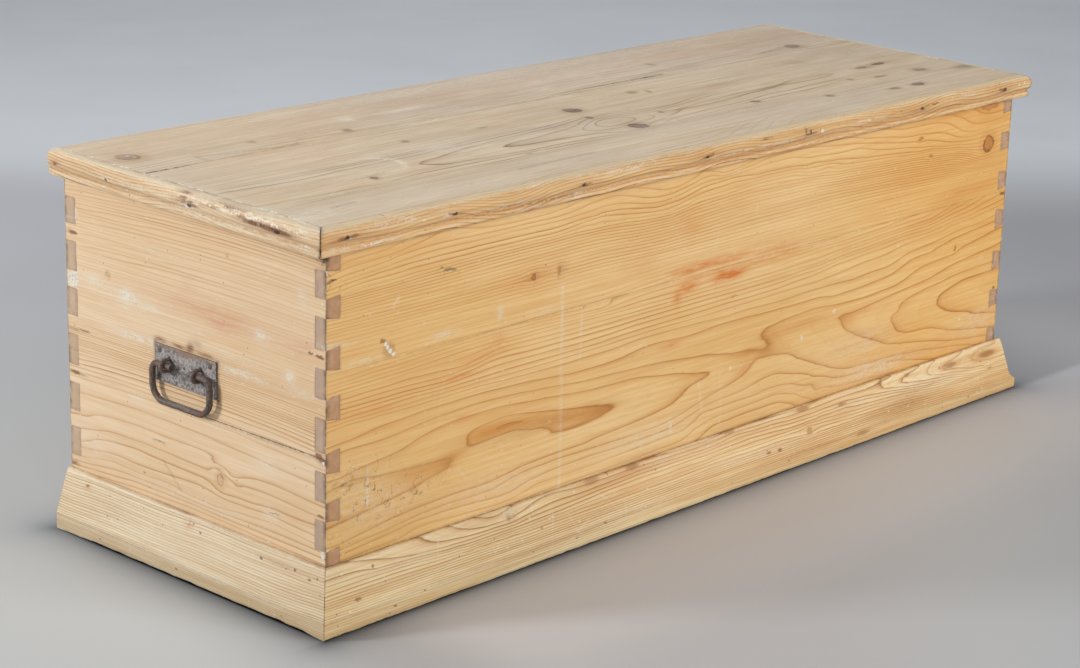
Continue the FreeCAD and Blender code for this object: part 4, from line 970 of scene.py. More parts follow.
MATS["back_pine"] = wood(
    "back_pine", 0, "xz", srgb(216, 182, 136), srgb(202, 164, 118), srgb(164, 118, 74), srgb(122, 82, 50),
    srgb(214, 184, 156), line=0.8, hair=0.5, fibre=0.6, streak=0.35, seed=2.9, rough=0.62, worn=0.12,
    knots=[(-420, 330, 13, 11, 0.9), (250, 140, 10, 9, 0.9), (520, 390, 8, 7, 0.8), (-90, 180, 6, 6, 0.7)])
MATS["bottom_pine"] = wood(
    "bottom_pine", 0, "xy", srgb(206, 176, 134), srgb(190, 158, 116), srgb(150, 112, 74), srgb(110, 78, 50),
    srgb(160, 130, 102), line=0.7, hair=0.4, fibre=0.7, streak=0.4, seed=4.4, rough=0.7, worn=0.2)
MATS["bearer_pine"] = wood(
    "bearer_pine", 1, "xy", srgb(206, 176, 134), srgb(190, 158, 116), srgb(150, 112, 74), srgb(110, 78, 50),
    srgb(160, 130, 102), line=0.7, hair=0.4, fibre=0.7, streak=0.4, seed=5.4, rough=0.7, worn=0.2)
MATS["plinth_pine"] = wood(
    "plinth_pine", 0, "xz", srgb(252, 227, 176), srgb(242, 208, 150), srgb(210, 150, 84), srgb(140, 90, 42),
    srgb(170, 138, 106), line=1.05, hair=0.95, fibre=0.9, streak=0.50, seed=6.1, rough=0.5, band=0.5, scratch=0.3, fleck=0.32,
    tint=(("x", 0.0, -0.45, (0.93, 1.03, 1.15)),), red=(212, 148, 82), knots=[(209, 44.7, 4.6, 4.2, 0.7), (-394, 68.5, 8, 4.0, 0.4)], knot_col=((196, 160, 108), (168, 128, 80), (120, 92, 58)),
    marks=[("brown", -664, 36, 6.5, 2.2, 0.8), ("grey", -608, 13.5, 3.4, 1.6, 0.8), ("grey", -558, 20, 1.8, 1.4, 0.8), ("brown", -631, 66, 2.4, 1.6, 0.8),
           ("grey", -617, 6, 2, 1.2, 0.6), ("brown", 114, 35, 6, 2.2, 0.7), ("brown", 138, 33.5, 6.5, 2.4, 0.75), ("brown", -240, 76, 16, 5, 0.42),
           ("brown", -160, 76.5, 15, 4.5, 0.5), ("brown", 205, 75, 16, 4.0, 0.5), ("brown", 42, 78, 14, 3.0, 0.5), ("brown", 292, 64, 12, 2.0, 0.55),
           ("brown", 565, 65.5, 18, 4.5, 0.45), ("brown", 662, 63.5, 24, 5.5, 0.5), ("brown", 665, 41.5, 7, 1.6, 0.55), ("brown", 455, 72.5, 7, 2.4, 0.5),
           ("grey", 537, 66, 2.4, 1.4, 0.7), ("grey", 643, 55, 2.4, 1.2, 0.6), ("grey", 596, 12, 2.6, 1.6, 0.6), ("brown", -286, 15, 3, 1.8, 0.5),
           ("brown", -231, 21.5, 4, 1.6, 0.7), ("brown", 154, 15, 3, 2, 0.6), ("white", -152, 24, 2.4, 1.2, 0.8), ("brown", 328, 16, 18, 3.4, 0.42),
           ("brown", -345, 42, 2.6, 2.0, 0.5), ("dark", -208, 79, 1.2, 3.0, 0.6)])
MATS["plinth_end_pine"] = wood(
    "plinth_end_pine", 1, "yz", srgb(242, 226, 196), srgb(232, 211, 176), srgb(198, 164, 114), srgb(144, 110, 68),
    srgb(180, 150, 116), line=1.0, hair=0.95, fibre=0.85, streak=0.25, seed=7.7, rough=0.52, band=0.5, scratch=0.25, fleck=0.3,
    marks=[("brown", 195, 66.5, 3.4, 2.2, 0.8), ("grey", 150, 65, 1.8, 1.4, 0.8), ("brown", 83, 67, 1.4, 1.2, 0.7), ("grey", -13, 71.5, 2.2, 1.2, 0.7),
           ("grey", -28, 64.5, 2.2, 1.6, 0.85), ("grey", 152, 10.5, 2.2, 1.4, 0.75), ("grey", 0, 14, 2.0, 1.6, 0.8), ("brown", -141, 64.5, 2.8, 1.8, 0.9),
           ("brown", -186, 64.5, 2.0, 1.5, 0.8), ("brown", -201, 66.5, 2.6, 2.0, 0.9), ("brown", -228, 62, 4, 1.5, 0.8), ("brown", -240, 66, 2.4, 1.6, 0.8),
           ("grey", -194, 10.5, 3.0, 1.4, 0.6), ("dark", -5, 70, 1.0, 5, 0.35)])
MATS["lid_pine"] = wood(
    "lid_pine", 0, "xy", srgb(237, 217, 189), srgb(225, 204, 174), srgb(174, 140, 104), srgb(98, 74, 52),
    srgb(170, 142, 110), line=1.15, hair=1.35, wk=1.15, fibre=0.75, streak=0.26, seed=8.2, rough=0.6, band=0.35,
    knot_col=((140, 112, 100), (112, 88, 78), (96, 74, 66)),
    knots=[(-671, 147, 17, 17, 0.7), (-30, -7, 14, 15, 1.0), (-27, -124, 16, 14, 1.0),
           (-503, -116, 6, 7, 0.75), (-356, 90, 6, 6, 0.6), (592, 98, 14, 12, 0.7),
           (590, -67, 17, 6, 0.85), (608, -131, 12, 10, 0.5), (515, -194, 15, 7, 0.85),
           (224, -124, 7, 6, 0.65), (343, -165, 7, 6, 0.55), (128, 22, 7, 6, 0.5), (-497, 116, 5, 5, 0.5),
           (463, -191, 12, 5, 0.6), (545, -70, 14, 5, 0.6), (-341, -1, 5, 5, 0.5), (-45, -52, 5, 7, 0.75), (300, 137, 5, 6, 0.5),
           (515, -127, 12, 4, 0.5), (63, -86, 5, 4, 0.5), (-201, -4, 8, 2.5, 0.4), (460, -113, 6, 4, 0.4), (150, 12, 4, 5, 0.45)],
    marks=[("white", -668, 150, 5, 1.6, 0.7), ("white", -664, 142, 1.6, 4, 0.5)],
    worn=0.20, fleck=0.26, spec=0.25, pale=(236, 226, 206), red=(214, 172, 134), scratch=0.3, dirt=(84, 66, 50),
    old=srgb(212, 196, 176), oldamt=0.42,
    tint=(("x", -0.40, -0.05, (0.975, 0.97, 0.965)), ("x", -0.45, -0.10, (0.895, 0.925, 1.0), "y", 0.06, 0.14), ("x", 0.10, 0.50, (0.975, 0.96, 0.945)), ("x", -0.30, -0.60, (1.015, 0.995, 0.975), "y", 0.05, -0.02)))
MATS["moulding_pine"] = wood(
    "moulding_pine", 0, "xz", srgb(246, 219, 168), srgb(236, 198, 140), srgb(198, 136, 72), srgb(114, 68, 34),
    srgb(176, 142, 106), line=1.20, hair=1.15, vary=0.4, crisp=True, fibre=0.9, streak=0.35, seed=9.6, rough=0.52, cap=srgb(224, 204, 168), capamt=0.75, fleck=0.3,
    red=(158, 92, 60),
    marks=[("dark", -681, 478, 5, 2.4, 0.95), ("dark", -509, 478, 4.5, 2.4, 0.95), ("grey", -517, 479.5, 5, 1.2, 0.7), ("dark", -284, 478, 4.0, 2.2, 0.9),
           ("dark", -46, 478, 4.5, 2.0, 0.9), ("dark", 174, 480, 2.4, 4.5, 0.9), ("dark", 434, 478.5, 4, 2.0, 0.9), ("dark", 645, 479, 5.0, 2.2, 0.9),
           ("brown", -690, 478, 8, 2.2, 0.7), ("brown", -670, 479, 8, 2.0, 0.7), ("brown", -38, 479, 8, 1.8, 0.55), ("brown", 465, 481, 10, 1.5, 0.85),
           ("brown", 447, 480, 6, 1.6, 0.6), ("brown", 635, 479.5, 8, 2.0, 0.7), ("brown", -275, 478, 7, 1.8, 0.6), ("white", 200, 478, 4, 2.6, 0.85),
           ("white", 683, 481, 2.4, 1.6, 0.9), ("white", 697, 482.5, 2.4, 1.6, 0.9), ("white", -560, 479, 3, 1.4, 0.6), ("brown", 74, 484, 9, 1.2, 0.6),
           ("brown", 182, 478, 7, 1.8, 0.5), ("white", -675, 476, 3, 1.0, 0.5)])
MATS["moulding_end_pine"] = wood(
    "moulding_end_pine", 1, "yz", srgb(246, 222, 184), srgb(232, 203, 161), srgb(194, 144, 94), srgb(116, 76, 48),
    srgb(176, 142, 106), line=1.20, hair=1.15, vary=0.4, crisp=True, fibre=0.9, streak=0.35, seed=10.3, rough=0.55, cap=srgb(226, 208, 178), capamt=0.85, fleck=0.32,
    red=(150, 80, 50), pale=(236, 226, 204),
    marks=[("brown", 226, 484.5, 4, 2.4, 0.8), ("dark", 125, 483, 3.0, 2.0, 0.85), ("dark", -33, 480, 5, 2.4, 0.95), ("dark", -188, 477, 6, 2.4, 0.95),
           ("brown", -40, 481, 7, 1.8, 0.7), ("brown", -200, 478, 9, 2.0, 0.85), ("brown", -170, 479, 10, 2.0, 0.8), ("brown", -145, 481, 10, 1.8, 0.75),
           ("white", -27, 477.5, 4.0, 2.6, 0.95), ("white", -45, 484, 6, 1.4, 0.7), ("brown", -22, 488, 8, 1.8, 0.8), ("brown", -128, 484, 10, 1.6, 0.7)])
MATS["plate_iron"] = iron("plate_iron", srgb(97, 91, 88), srgb(158, 152, 150), srgb(147, 118, 100), 0.18, 0.5, 1.4, 0.62, light=(216, 210, 204), grain=330.0)
MATS["handle_iron"] = iron("handle_iron", srgb(64, 52, 46), srgb(104, 90, 82), srgb(122, 82, 62), 0.45, 0.45, 1.2, 0.45, light=(170, 158, 148))
MATS["nail_iron"] = iron("nail_iron", srgb(44, 36, 32), srgb(76, 64, 56), srgb(112, 68, 42), 0.6, 0.7, 0.8, 0.2)
MATS["hinge_iron"] = iron("hinge_iron", srgb(46, 44, 42), srgb(84, 80, 76), srgb(118, 76, 50), 0.35, 0.5, 0.8, 0.3, metal=0.3)
MATS["screw_steel"] = iron("screw_steel", srgb(80, 76, 72), srgb(128, 122, 114), srgb(120, 80, 54), 0.25, 0.42, 0.5, 0.3, metal=0.7)


def use(ob, mat):
    ob.data.materials.clear()
    ob.data.materials.append(MATS[mat])


def grad(field, u, v, h=1.5):
    a = field(u + h, v) - field(u - h, v)
    b = field(u, v + h) - field(u, v - h)
    return np.hypot(a, b) / (2 * h)


def wear(ob, P, seed, amp=0.25, size=60.0):
    """Slight unevenness of planed and rubbed surfaces."""
    f = waves(seed, 12, 0.4, 2.2)
    N = normals(ob)
    return P + N * (f(P / size) * amp)[:, None]


def fields(ob, P, phi, g, ls=1.0, dirt=0.0, red=0.0, pale=0.0, edge=0.0, fill=0.0, ge=None, rust=0.0, scuff=0.0, tan=0.0):
    n = len(P)
    if ge is None:
        ge = phi
    for k, v in (("gp", phi), ("gg", np.clip(g, 0.002, 0.8)), ("ls", ls), ("dirt", dirt), ("red", red), ("pale", pale),
                 ("edge", edge), ("fill", fill), ("ge", ge), ("rust", rust), ("scuff", scuff), ("tan", tan)):
        attr(ob, k, np.broadcast_to(np.asarray(v, float), (n,)))


def joints_dark(P, which):
    """How much of a dark joint line a point has, on the carcase faces."""
    x, y, z = P.T
    e = np.zeros(len(P))
    f = (np.abs(y - YF) < 0.7) | (np.abs(y - YB) < 0.7)
    d = seg_dist(x[f], z[f], FSEG)
    c = np.minimum(np.abs(x[f] - XL), np.abs(x[f] - XR))
    e[f] = np.maximum(0.26 * np.exp(-(d / 0.6) ** 2), 0.55 * np.exp(-(c / 0.9) ** 2))
    f = (np.abs(x - XL) < 0.7) | (np.abs(x - XR) < 0.7)
    d = seg_dist(y[f], z[f], ESEG)
    c = np.minimum(np.abs(y[f] - YF), np.abs(y[f] - YB))
    e[f] = np.maximum(e[f], np.maximum(0.26 * np.exp(-(d / 0.6) ** 2), 0.5 * np.exp(-(c / 0.9) ** 2)))
    return e


def settle(ob, P, node, body, mat, wear_seed=1, amp=0.22, size=60.0):
    """Wear, scale to metres, shading, and the piece's place in the frame."""
    put(ob, wear(ob, P, wear_seed, amp, size) if amp else P)
    shade(ob)
    use(ob, mat)
    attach(ob, body)
    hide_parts(node)
    return ob


# ---------------------------------------------------------------- front boards
fl_field = part_round(tabulate(fit_lines(FRONT_LOWER), XL, XR, 20.0, 330.0), [(571, 244.5, 10, 9, 0.5), (640.5, 395, 45, 28, 0.6)])
fu_field = part_round(tabulate(fit_lines(FRONT_UPPER), XL, XR, 305.0, 480.0),
                      [(640.5, 395, 45, 28, 0.6), (637, 458, 74, 40, 0.85), (-351, 369, 18, 11, 0.6), (-305, 368, 9, 11, 0.4),
                       (462, 426.5, 16, 8, 0.5), (492, 397.5, 13, 7, 0.5)])


def corner_specks(u, v, at, seed, zs):
    """White filler left in the joints near a corner."""
    return bumps(u, v, [(at, z, ru, rz, k) for z, ru, rz, k in zs])


def front_piece(name, lo, hi, field, node, seed):
    ob = side_board(name, lo, hi, YF, YF + FT, step=3.7)
    P = coords(ob)
    x, y, z = P.T
    phi = field(x, z)
    g = grad(lambda a, b: field(a, b), x, z)
    dep = y - YF
    ends = (x < XL + 2) | (x > XR - 2)
    phi = phi + 0.10 * dep
    ge = 0.34 * z + 0.27 * dep
    if lo > 200:
        ls = np.interp(z, [314, 330, 350, 372, 400, 430, 474], [0.50, 0.42, 0.50, 0.70, 0.9, 1.0, 1.0])
        red = bumps(x, z, [(-30, 326, 70, 6, 0.50), (-60, 320, 46, 4, 0.35), (30, 323, 110, 6, 0.45), (150, 322, 60, 5, 0.35),
                           (-150, 352, 50, 22, 0.22), (-50, 385, 20, 22, 0.22), (-350, 369, 60, 16, 0.2), (560, 330, 80, 10, 0.2)])
        pale = strokes(x, z, [(-298, 350, -297, 316, 2.4, 0.5), (-591, 376, -580, 387, 1.6, 0.6)])
        pale += bumps(x, z, [(-410, 334, 5, 8, 0.6), (-505, 325, 22, 5, 0.5), (-690, 346, 34, 4, 0.55), (-640, 320, 30, 4, 0.4), (-330, 322, 30, 3, 0.3)])
        # painted shade: the dark spot at the top corner where the gap under the moulding is, and the band darkening the
        # board towards its top under the moulding; the other spots are dirt
        dirt = bumps(x, z, [(-351, 369, 18, 4, 0.25), (-697, 452, 6, 8, 0.8), (-690, 335, 5, 4, 0.3), (-300, 371, 10, 8, 0.18)])
        dirt += 0.45 * np.exp(-np.clip(460 - z, 0, 99) / 2.6)
        fill = corner_specks(x, z, -694.5, 0, [(328, 2.5, 5, 1.0), (352, 2.0, 4, 0.8), (388, 2.2, 5, 0.8), (402, 3, 2.4, 0.8), (436, 2.4, 4, 0.8)])
        ed = 0.16 * np.exp(-((z - 314.0) / 0.9) ** 2)
        scuff = bumps(x, z, [(-690, 420, 20, 30, 0.8), (-500, 404, 20, 8, 0.5)])
        tan = bumps(x, z, [(560, 452, 90, 10, 0.5), (640, 432, 60, 10, 0.4), (-350, 369, 60, 5, 0.25), (-600, 440, 120, 6, 0.25)])
        tan += 0.10 * np.interp(x, [180, 460], [0, 1]) + bumps(x, z, [(620, 331, 90, 10, 0.35), (540, 322, 60, 5, 0.25)])
    else:
        ls = np.interp(z, [79, 262, 285, 314], [1.0, 1.0, 0.95, 0.9])
        red = bumps(x, z, [(-485, 267, 34, 4, 0.6), (-440, 283, 44, 6, 0.35), (-415, 302, 22, 12, 0.28), (-470, 212, 18, 4, 0.6),
                           (-55, 300, 20, 6, 0.5), (35, 300, 30, 7, 0.6), (20, 310, 120, 7, 0.55), (-85, 226, 20, 4, 0.6),
                           (-72, 285, 8, 10, 0.5), (160, 308, 50, 5, 0.4), (35, 300, 34, 5, 0.55), (20, 292, 20, 3, 0.35), (-50, 299, 18, 5, 0.5), (-72, 291, 9, 6, 0.4), (-620, 255, 50, 5, 0.3), (330, 190, 90, 8, 0.2), (70, 158, 26, 9, 0.3)])
        pale = strokes(x, z, [(-297, 312, -294, 80, 2.2, 0.45), (-260, 312, -262, 240, 2.4, 0.3), (-78, 120, -74, 98, 2.2, 0.7),
                              (-20, 160, -12, 120, 2.0, 0.35), (25, 165, 28, 90, 2.0, 0.25), (-630, 190, -630, 140, 1.4, 0.5)])
        pale += bumps(x, z, [(-650, 160, 60, 44, 0.18), (-600, 130, 60, 24, 0.16), (-130, 108, 90, 16, 0.30),
                             (340, 140, 70, 22, 0.30), (380, 96, 90, 12, 0.55), (640, 115, 50, 18, 0.32), (643, 217, 5, 6, 0.3), (-420, 110, 90, 20, 0.25)])
        dirt = bumps(x, z, [(-320, 172, 150, 9, 0.10), (-655, 175, 30, 6, 0.15)])
        dirt += strokes(x, z, [(-632, 190, -632, 140, 1.2, 0.55), (-655, 170, -690, 180, 1.0, 0.45), (-560, 140, -540, 132, 1.2, 0.45)])
        # painted shade in the corner just above the plinth
        dirt += 0.22 * np.exp(-np.clip(z - 79, 0, 99) / 1.4)
        fill = corner_specks(x, z, -694.5, 0, [(93, 3.4, 11, 1.3), (138, 2.2, 5, 0.9), (152, 3, 2, 0.8), (205, 2.2, 5, 0.8), (262, 2.2, 4, 0.9), (283, 3, 2, 0.7)])
        ed = 0.16 * np.exp(-((z - 314.0) / 0.9) ** 2)
        scuff = bumps(x, z, [(-640, 160, 60, 34, 1.0), (-560, 140, 50, 22, 0.8), (-690, 100, 30, 20, 0.5)])
        tan = bumps(x, z, [(-430, 184, 44, 11, 0.85), (-360, 184, 60, 9, 0.75), (-300, 172, 60, 9, 0.7), (-240, 166, 50, 8, 0.6), (-540, 160, 50, 7, 0.6),
                           (-490, 170, 30, 6, 0.6), (80, 181, 26, 6, 0.7), (150, 196, 60, 7, 0.6), (220, 201, 40, 6, 0.5), (-440, 205, 90, 4, 0.3),
                           (310, 185, 14, 8, 0.3), (500, 300, 60, 4, 0.5), (570, 309, 50, 4, 0.5)])
        tan += 0.06 * np.interp(x, [180, 460], [0, 1]) + 0.10 * np.interp(x, [-600, -420], [1, 0])
    edge = np.maximum(joints_dark(P, "f"), ed * (np.abs(y - YF) < 1))
    fields(ob, P, phi, g, ls, dirt, red, pale, edge=edge, fill=fill * (y < YF + 1), ge=ge, scuff=scuff, tan=tan)
    return settle(ob, P, node, "carcase", "front_pine", seed)


front_piece("front_lower_board", Z0, 314.0, fl_field, "front_board_lower", 11)
front_piece("front_upper_board", 314.0, Z1, fu_field, "front_board_upper", 12)

# ---------------------------------------------------------------- end boards
le_field = part_round(tabulate(fit_lines(END_LOWER), YF, YB, 20.0, 220.0), [(-54, 138, 22, 16, 0.6)])
leu = log_field(31, 60.0, 210.0, 4.4, drift=5.0)


def left_upper(y, z):
    """Fine, nearly straight lines, denser and darker low down."""
    s = np.interp(z, [211, 240, 262, 285, 300, 474], [0, 5, 12, 20, 25, 63])
    w = waves(71, 8, 0.4, 1.6)(np.stack([y / 420.0, z / 300.0, z * 0], -1))
    w2 = waves(79, 10, 1.0, 4.0)(np.stack([y / 1500.0, z / 40.0, z * 0], -1))
    return s + w * 0.9 + w2 * 0.55 + 0.00002 * (y + 30) ** 2


def end_piece(name, lo, hi, side, field, node, seed, marks=True):
    xo, xi = (XL, XL + ET) if side < 0 else (XR, XR - ET)
    ob = end_board(name, lo, hi, xo, xi, step=2.8 if side < 0 else 3.6)
    P = coords(ob)
    x, y, z = P.T
    phi = field(y, z)
    g = grad(field, y, z)
    dep = np.abs(x - xo)
    phi = phi + 0.10 * dep
    ge = 0.30 * z + 0.28 * dep
    ls = np.full(len(P), 0.75)
    fill = ed = np.zeros(len(P))
    dirt = red = pale = rust = np.zeros(len(P))
    if side < 0 and lo > 200:
        ls = np.interp(z, [211, 262, 285, 300, 350, 385, 420, 474], [1.0, 0.95, 0.62, 0.34, 0.36, 0.50, 0.74, 0.95])
        ls = ls * np.clip(1.0 + 0.55 * waves(83, 12, 1.0, 6.0)(np.stack([y / 900.0, z / 26.0, z * 0], -1)), 0.35, 1.7)
        red = bumps(y, z, [(-10, 345, 60, 12, 0.34), (-75, 341, 60, 12, 0.46), (-60, 330, 40, 10, 0.25), (2, 372, 14, 12, 0.30), (-165, 336, 50, 9, 0.26),
                           (-208, 338, 28, 18, 0.34), (100, 345, 60, 12, 0.2), (-110, 372, 70, 20, 0.12)])
        rust = bumps(y, z, [(57, 290.5, 10, 3.5, 0.8), (0, 291.5, 6, 6, 0.95), (22, 289.5, 14, 2.6, 0.8), (-30, 289.5, 16, 2.6, 0.7), (-12, 300, 12, 8, 0.25),
                            (66, 284, 3, 5, 0.5)])
        pale = bumps(y, z, [(118, 331, 20, 10, 0.9), (75, 326, 16, 5, 0.7), (190, 340, 18, 6, 0.6), (-130, 336, 18, 9, 0.6),
                            (-180, 298, 10, 9, 0.7), (-202, 400, 8, 12, 0.5), (100, 283, 46, 4.5, 1.0), (-95, 282, 46, 4.5, 0.9),
                            (-12, 317, 14, 4, 0.5), (-205, 283, 34, 4, 0.55), (160, 330, 90, 14, 0.25), (-80, 300, 60, 6, 0.3), (60, 400, 60, 10, 0.2),
                            (229, 285, 6, 6, 0.4)])
        fill = bumps(y, z, [(231, 333, 9, 11, 1.4), (220.5, 330, 1.8, 12, 0.9), (220.5, 421, 1.8, 16, 0.95), (-237, 431, 2.5, 8, 0.8), (-236, 396, 2, 6, 0.7),
                            (-237, 352, 3, 8, 0.9), (-238, 290, 2.5, 9, 0.8), (221, 372, 1.8, 8, 0.6), (-224, 318, 2, 5, 0.7)])
        # dirt, and painted shade at the top front corner where the gap under the moulding is
        dirt = bumps(y, z, [(225, 267, 22, 1.4, 0.5), (234, 394, 5, 3, 0.5), (-238, 452, 8, 7, 1.2), (-228, 455, 10, 4, 0.8), (-238, 422, 6, 3, 0.6)])
        # painted shade and dirt along the edges of the back plate, and painted shade in a band just below it
        dirt += 0.5 * np.exp(-((np.abs(y - 7.5) - 59) / 3.0) ** 2) * (np.abs(z - 262.4) < 27)
        dirt += 0.35 * np.exp(-((z - 237) / 3.0) ** 2) * (np.abs(y - 7.5) < 60)
        ed = 0.5 * np.exp(-((z - 211.5) / 0.7) ** 2) * np.interp(y, [-250, -200, -50, -20, 60, 250], [1.0, 1.0, 0.9, 0.25, 0.12, 0.3])
    elif side < 0:
        ls = np.full(len(P), 0.95)
        pale = bumps(y, z, [(-140, 180, 20, 11, 0.55), (105, 200, 16, 6, 0.4), (200, 120, 40, 18, 0.35), (-145, 118, 18, 12, 0.4), (0, 100, 120, 12, 0.25)])
        fill = bumps(y, z, [(-238, 96, 4.5, 12, 1.4), (-237, 130, 3, 6, 0.8), (-237, 172, 2.5, 8, 0.8), (-238, 206, 4, 4, 0.7), (221, 150, 1.8, 10, 0.7),
                            (221, 104, 1.8, 8, 0.6)])
        dirt = bumps(y, z, [(228, 209, 18, 2.0, 0.7), (-228, 213, 14, 3.0, 0.6), (-236, 211, 8, 6, 0.6), (232, 86, 7, 3, 0.5), (-140, 209.5, 80, 1.2, 0.3)])
        dirt += strokes(y, z, [(55, 135, 22, 105, 1.8, 0.20), (75, 158, 50, 158, 1.2, 0.20)])
        ed = 0.6 * np.exp(-((z - 211.5) / 0.7) ** 2) * np.interp(y, [-250, -200, -50, -20, 60, 250], [1.0, 1.0, 0.9, 0.25, 0.12, 0.3])
    else:
        pale = bumps(y, z, [(60, 340, 60, 20, 0.3), (-120, 200, 50, 20, 0.25), (150, 120, 60, 16, 0.25)]) + 0.16 * (np.abs(y - YF) < 1)
        dirt = bumps(y, z, [(229, 391, 10, 3, 0.7), (-233, 300, 8, 3, 0.7), (-229, 140, 8, 3, 0.6), (-90, 160, 20, 3, 0.3)])
        red = bumps(y, z, [(0, 294, 50, 5, 0.35), (40, 330, 60, 22, 0.15)])
        ed = 0.8 * np.exp(-((z - 262.0) / 0.9) ** 2)
    # painted shade in the corner just above the plinth
    dirt = dirt + 0.06 * np.exp(-np.clip(z - 79, 0, 99) / 1.8)
    outer = np.abs(x - xo) < 1
    if side < 0:
        # the boards have shrunk apart towards the front corner
        n1 = waves(77, 10, 1.0, 6.0)(np.stack([y / 90.0, y * 0, y * 0], -1))
        gap = 0.55 * np.interp(y, [-250, -200, -50, -22, 20], [1.0, 1.0, 0.85, 0.35, 0.06]) * np.clip(0.8 + 0.35 * n1, 0.3, 1.3)
        P = P.copy()
        P[:, 2] += np.where(outer & (np.abs(z - 211.5) < 1.2) & (np.abs(y) < 222), gap * (1 if lo > 200 else -1), 0.0)
    edge = np.maximum(joints_dark(P, "e"), ed * outer)
    fields(ob, P, phi, g, ls, dirt * outer, red, pale, edge=edge, fill=fill * outer, ge=ge, rust=rust * outer)
    return settle(ob, P, node, "carcase", "end_pine", seed)


end_piece("left_end_lower_board", Z0, 211.5, -1, le_field, "left_end_board_lower", 21)
end_piece("left_end_upper_board", 211.5, Z1, -1, left_upper, "left_end_board_upper", 22)
rel = log_field(41, 150.0, 22.0, 5.5, drift=8.0)
reu = log_field(45, 360.0, 160.0, 5.0, drift=6.0)
end_piece("right_end_lower_board", Z0, 262.0, 1, lambda y, z: rel(y, z), "right_end_board_lower", 23)
end_piece("right_end_upper_board", 262.0, Z1, 1, lambda y, z: reu(y, z), "right_end_board_upper", 24)

# ---------------------------------------------------------------- back boards


def generic(ob, P, field, u, v, w, ls=0.8, **k):
    phi = field(P[:, u], P[:, v], np.abs(P[:, w] - P[:, w].min()))
    g = grad(lambda a, b: field(a, b, 0.0), P[:, u], P[:, v])
    if "ge" not in k:
        k["ge"] = 0.45 * P[:, v] + 0.4 * P[:, w]
    fields(ob, P, phi, np.hypot(g, 0.02), ls, **k)


for nm, lo, hi, node, sd, v0, dp in (("back_lower_board", Z0, 238.0, "back_board_lower", 51, 120.0, 16.0),
                                     ("back_upper_board", 238.0, Z1, "back_board_upper", 54, 390.0, 30.0)):
    ob = side_board(nm, lo, hi, YB, YB - BT, step=6.0, near=False)
    P = coords(ob)
    e = joints_dark(P, "f")
    e = np.maximum(e, 0.7 * np.exp(-((P[:, 2] - 238.0) / 1.6) ** 2) * (P[:, 1] > YB - 1))
    generic(ob, P, log_field(sd, v0, dp, 6.5, drift=9.0), 0, 2, 1, 0.85, edge=e)
    settle(ob, P, node, "carcase", "back_pine", sd)

# ---------------------------------------------------------------- bottom and bearers
for i, (nm, y0, y1) in enumerate((("bottom_front_board", YF, -84.0), ("bottom_middle_board", -84.0, 78.0),
                                  ("bottom_back_board", 78.0, YB))):
    ob = slab(nm, (XL, XR), (y0, y1), (12.0, 30.0), step=9.0, flat=2)
    P = coords(ob)
    generic(ob, P, log_field(61 + 3 * i, (y0 + y1) / 2 + 20 * (i - 1), 14.0 + 6 * i, 6.0, drift=8.0), 0, 1, 2, 0.8)
    settle(ob, P, ("bottom_board_front", "bottom_board_middle", "bottom_board_back")[i], "carcase", "bottom_pine", 61 + i)
for i, x in enumerate((-560.0, 0.0, 560.0)):
    ob = slab(("bearer_left_batten", "bearer_middle_batten", "bearer_right_batten")[i], (x - 31, x + 31), (YF, YB), (0.0, 12.0), step=8.0, flat=2)
    P = coords(ob)
    generic(ob, P, log_field(81 + 3 * i, x + 50, 60.0, 5.0, drift=5.0), 1, 0, 2, 0.7)
    settle(ob, P, ("bearer_left", "bearer_middle", "bearer_right")[i], "carcase", "bearer_pine", 81 + i, amp=0.0)

# ---------------------------------------------------------------- plinth
PP = [(0, 0)] + line_pts((0, 0), (26.4, 0), 5) + line_pts((26.4, 0), (26.4, 21.7), 5) + line_pts((26.4, 21.7), (6.6, 78.2), 14) \
    + [(5.4, 79.0), (2.6, 79.0), (0, 79.0)] + line_pts((0, 79.0), (0, 0), 9)[:-1]


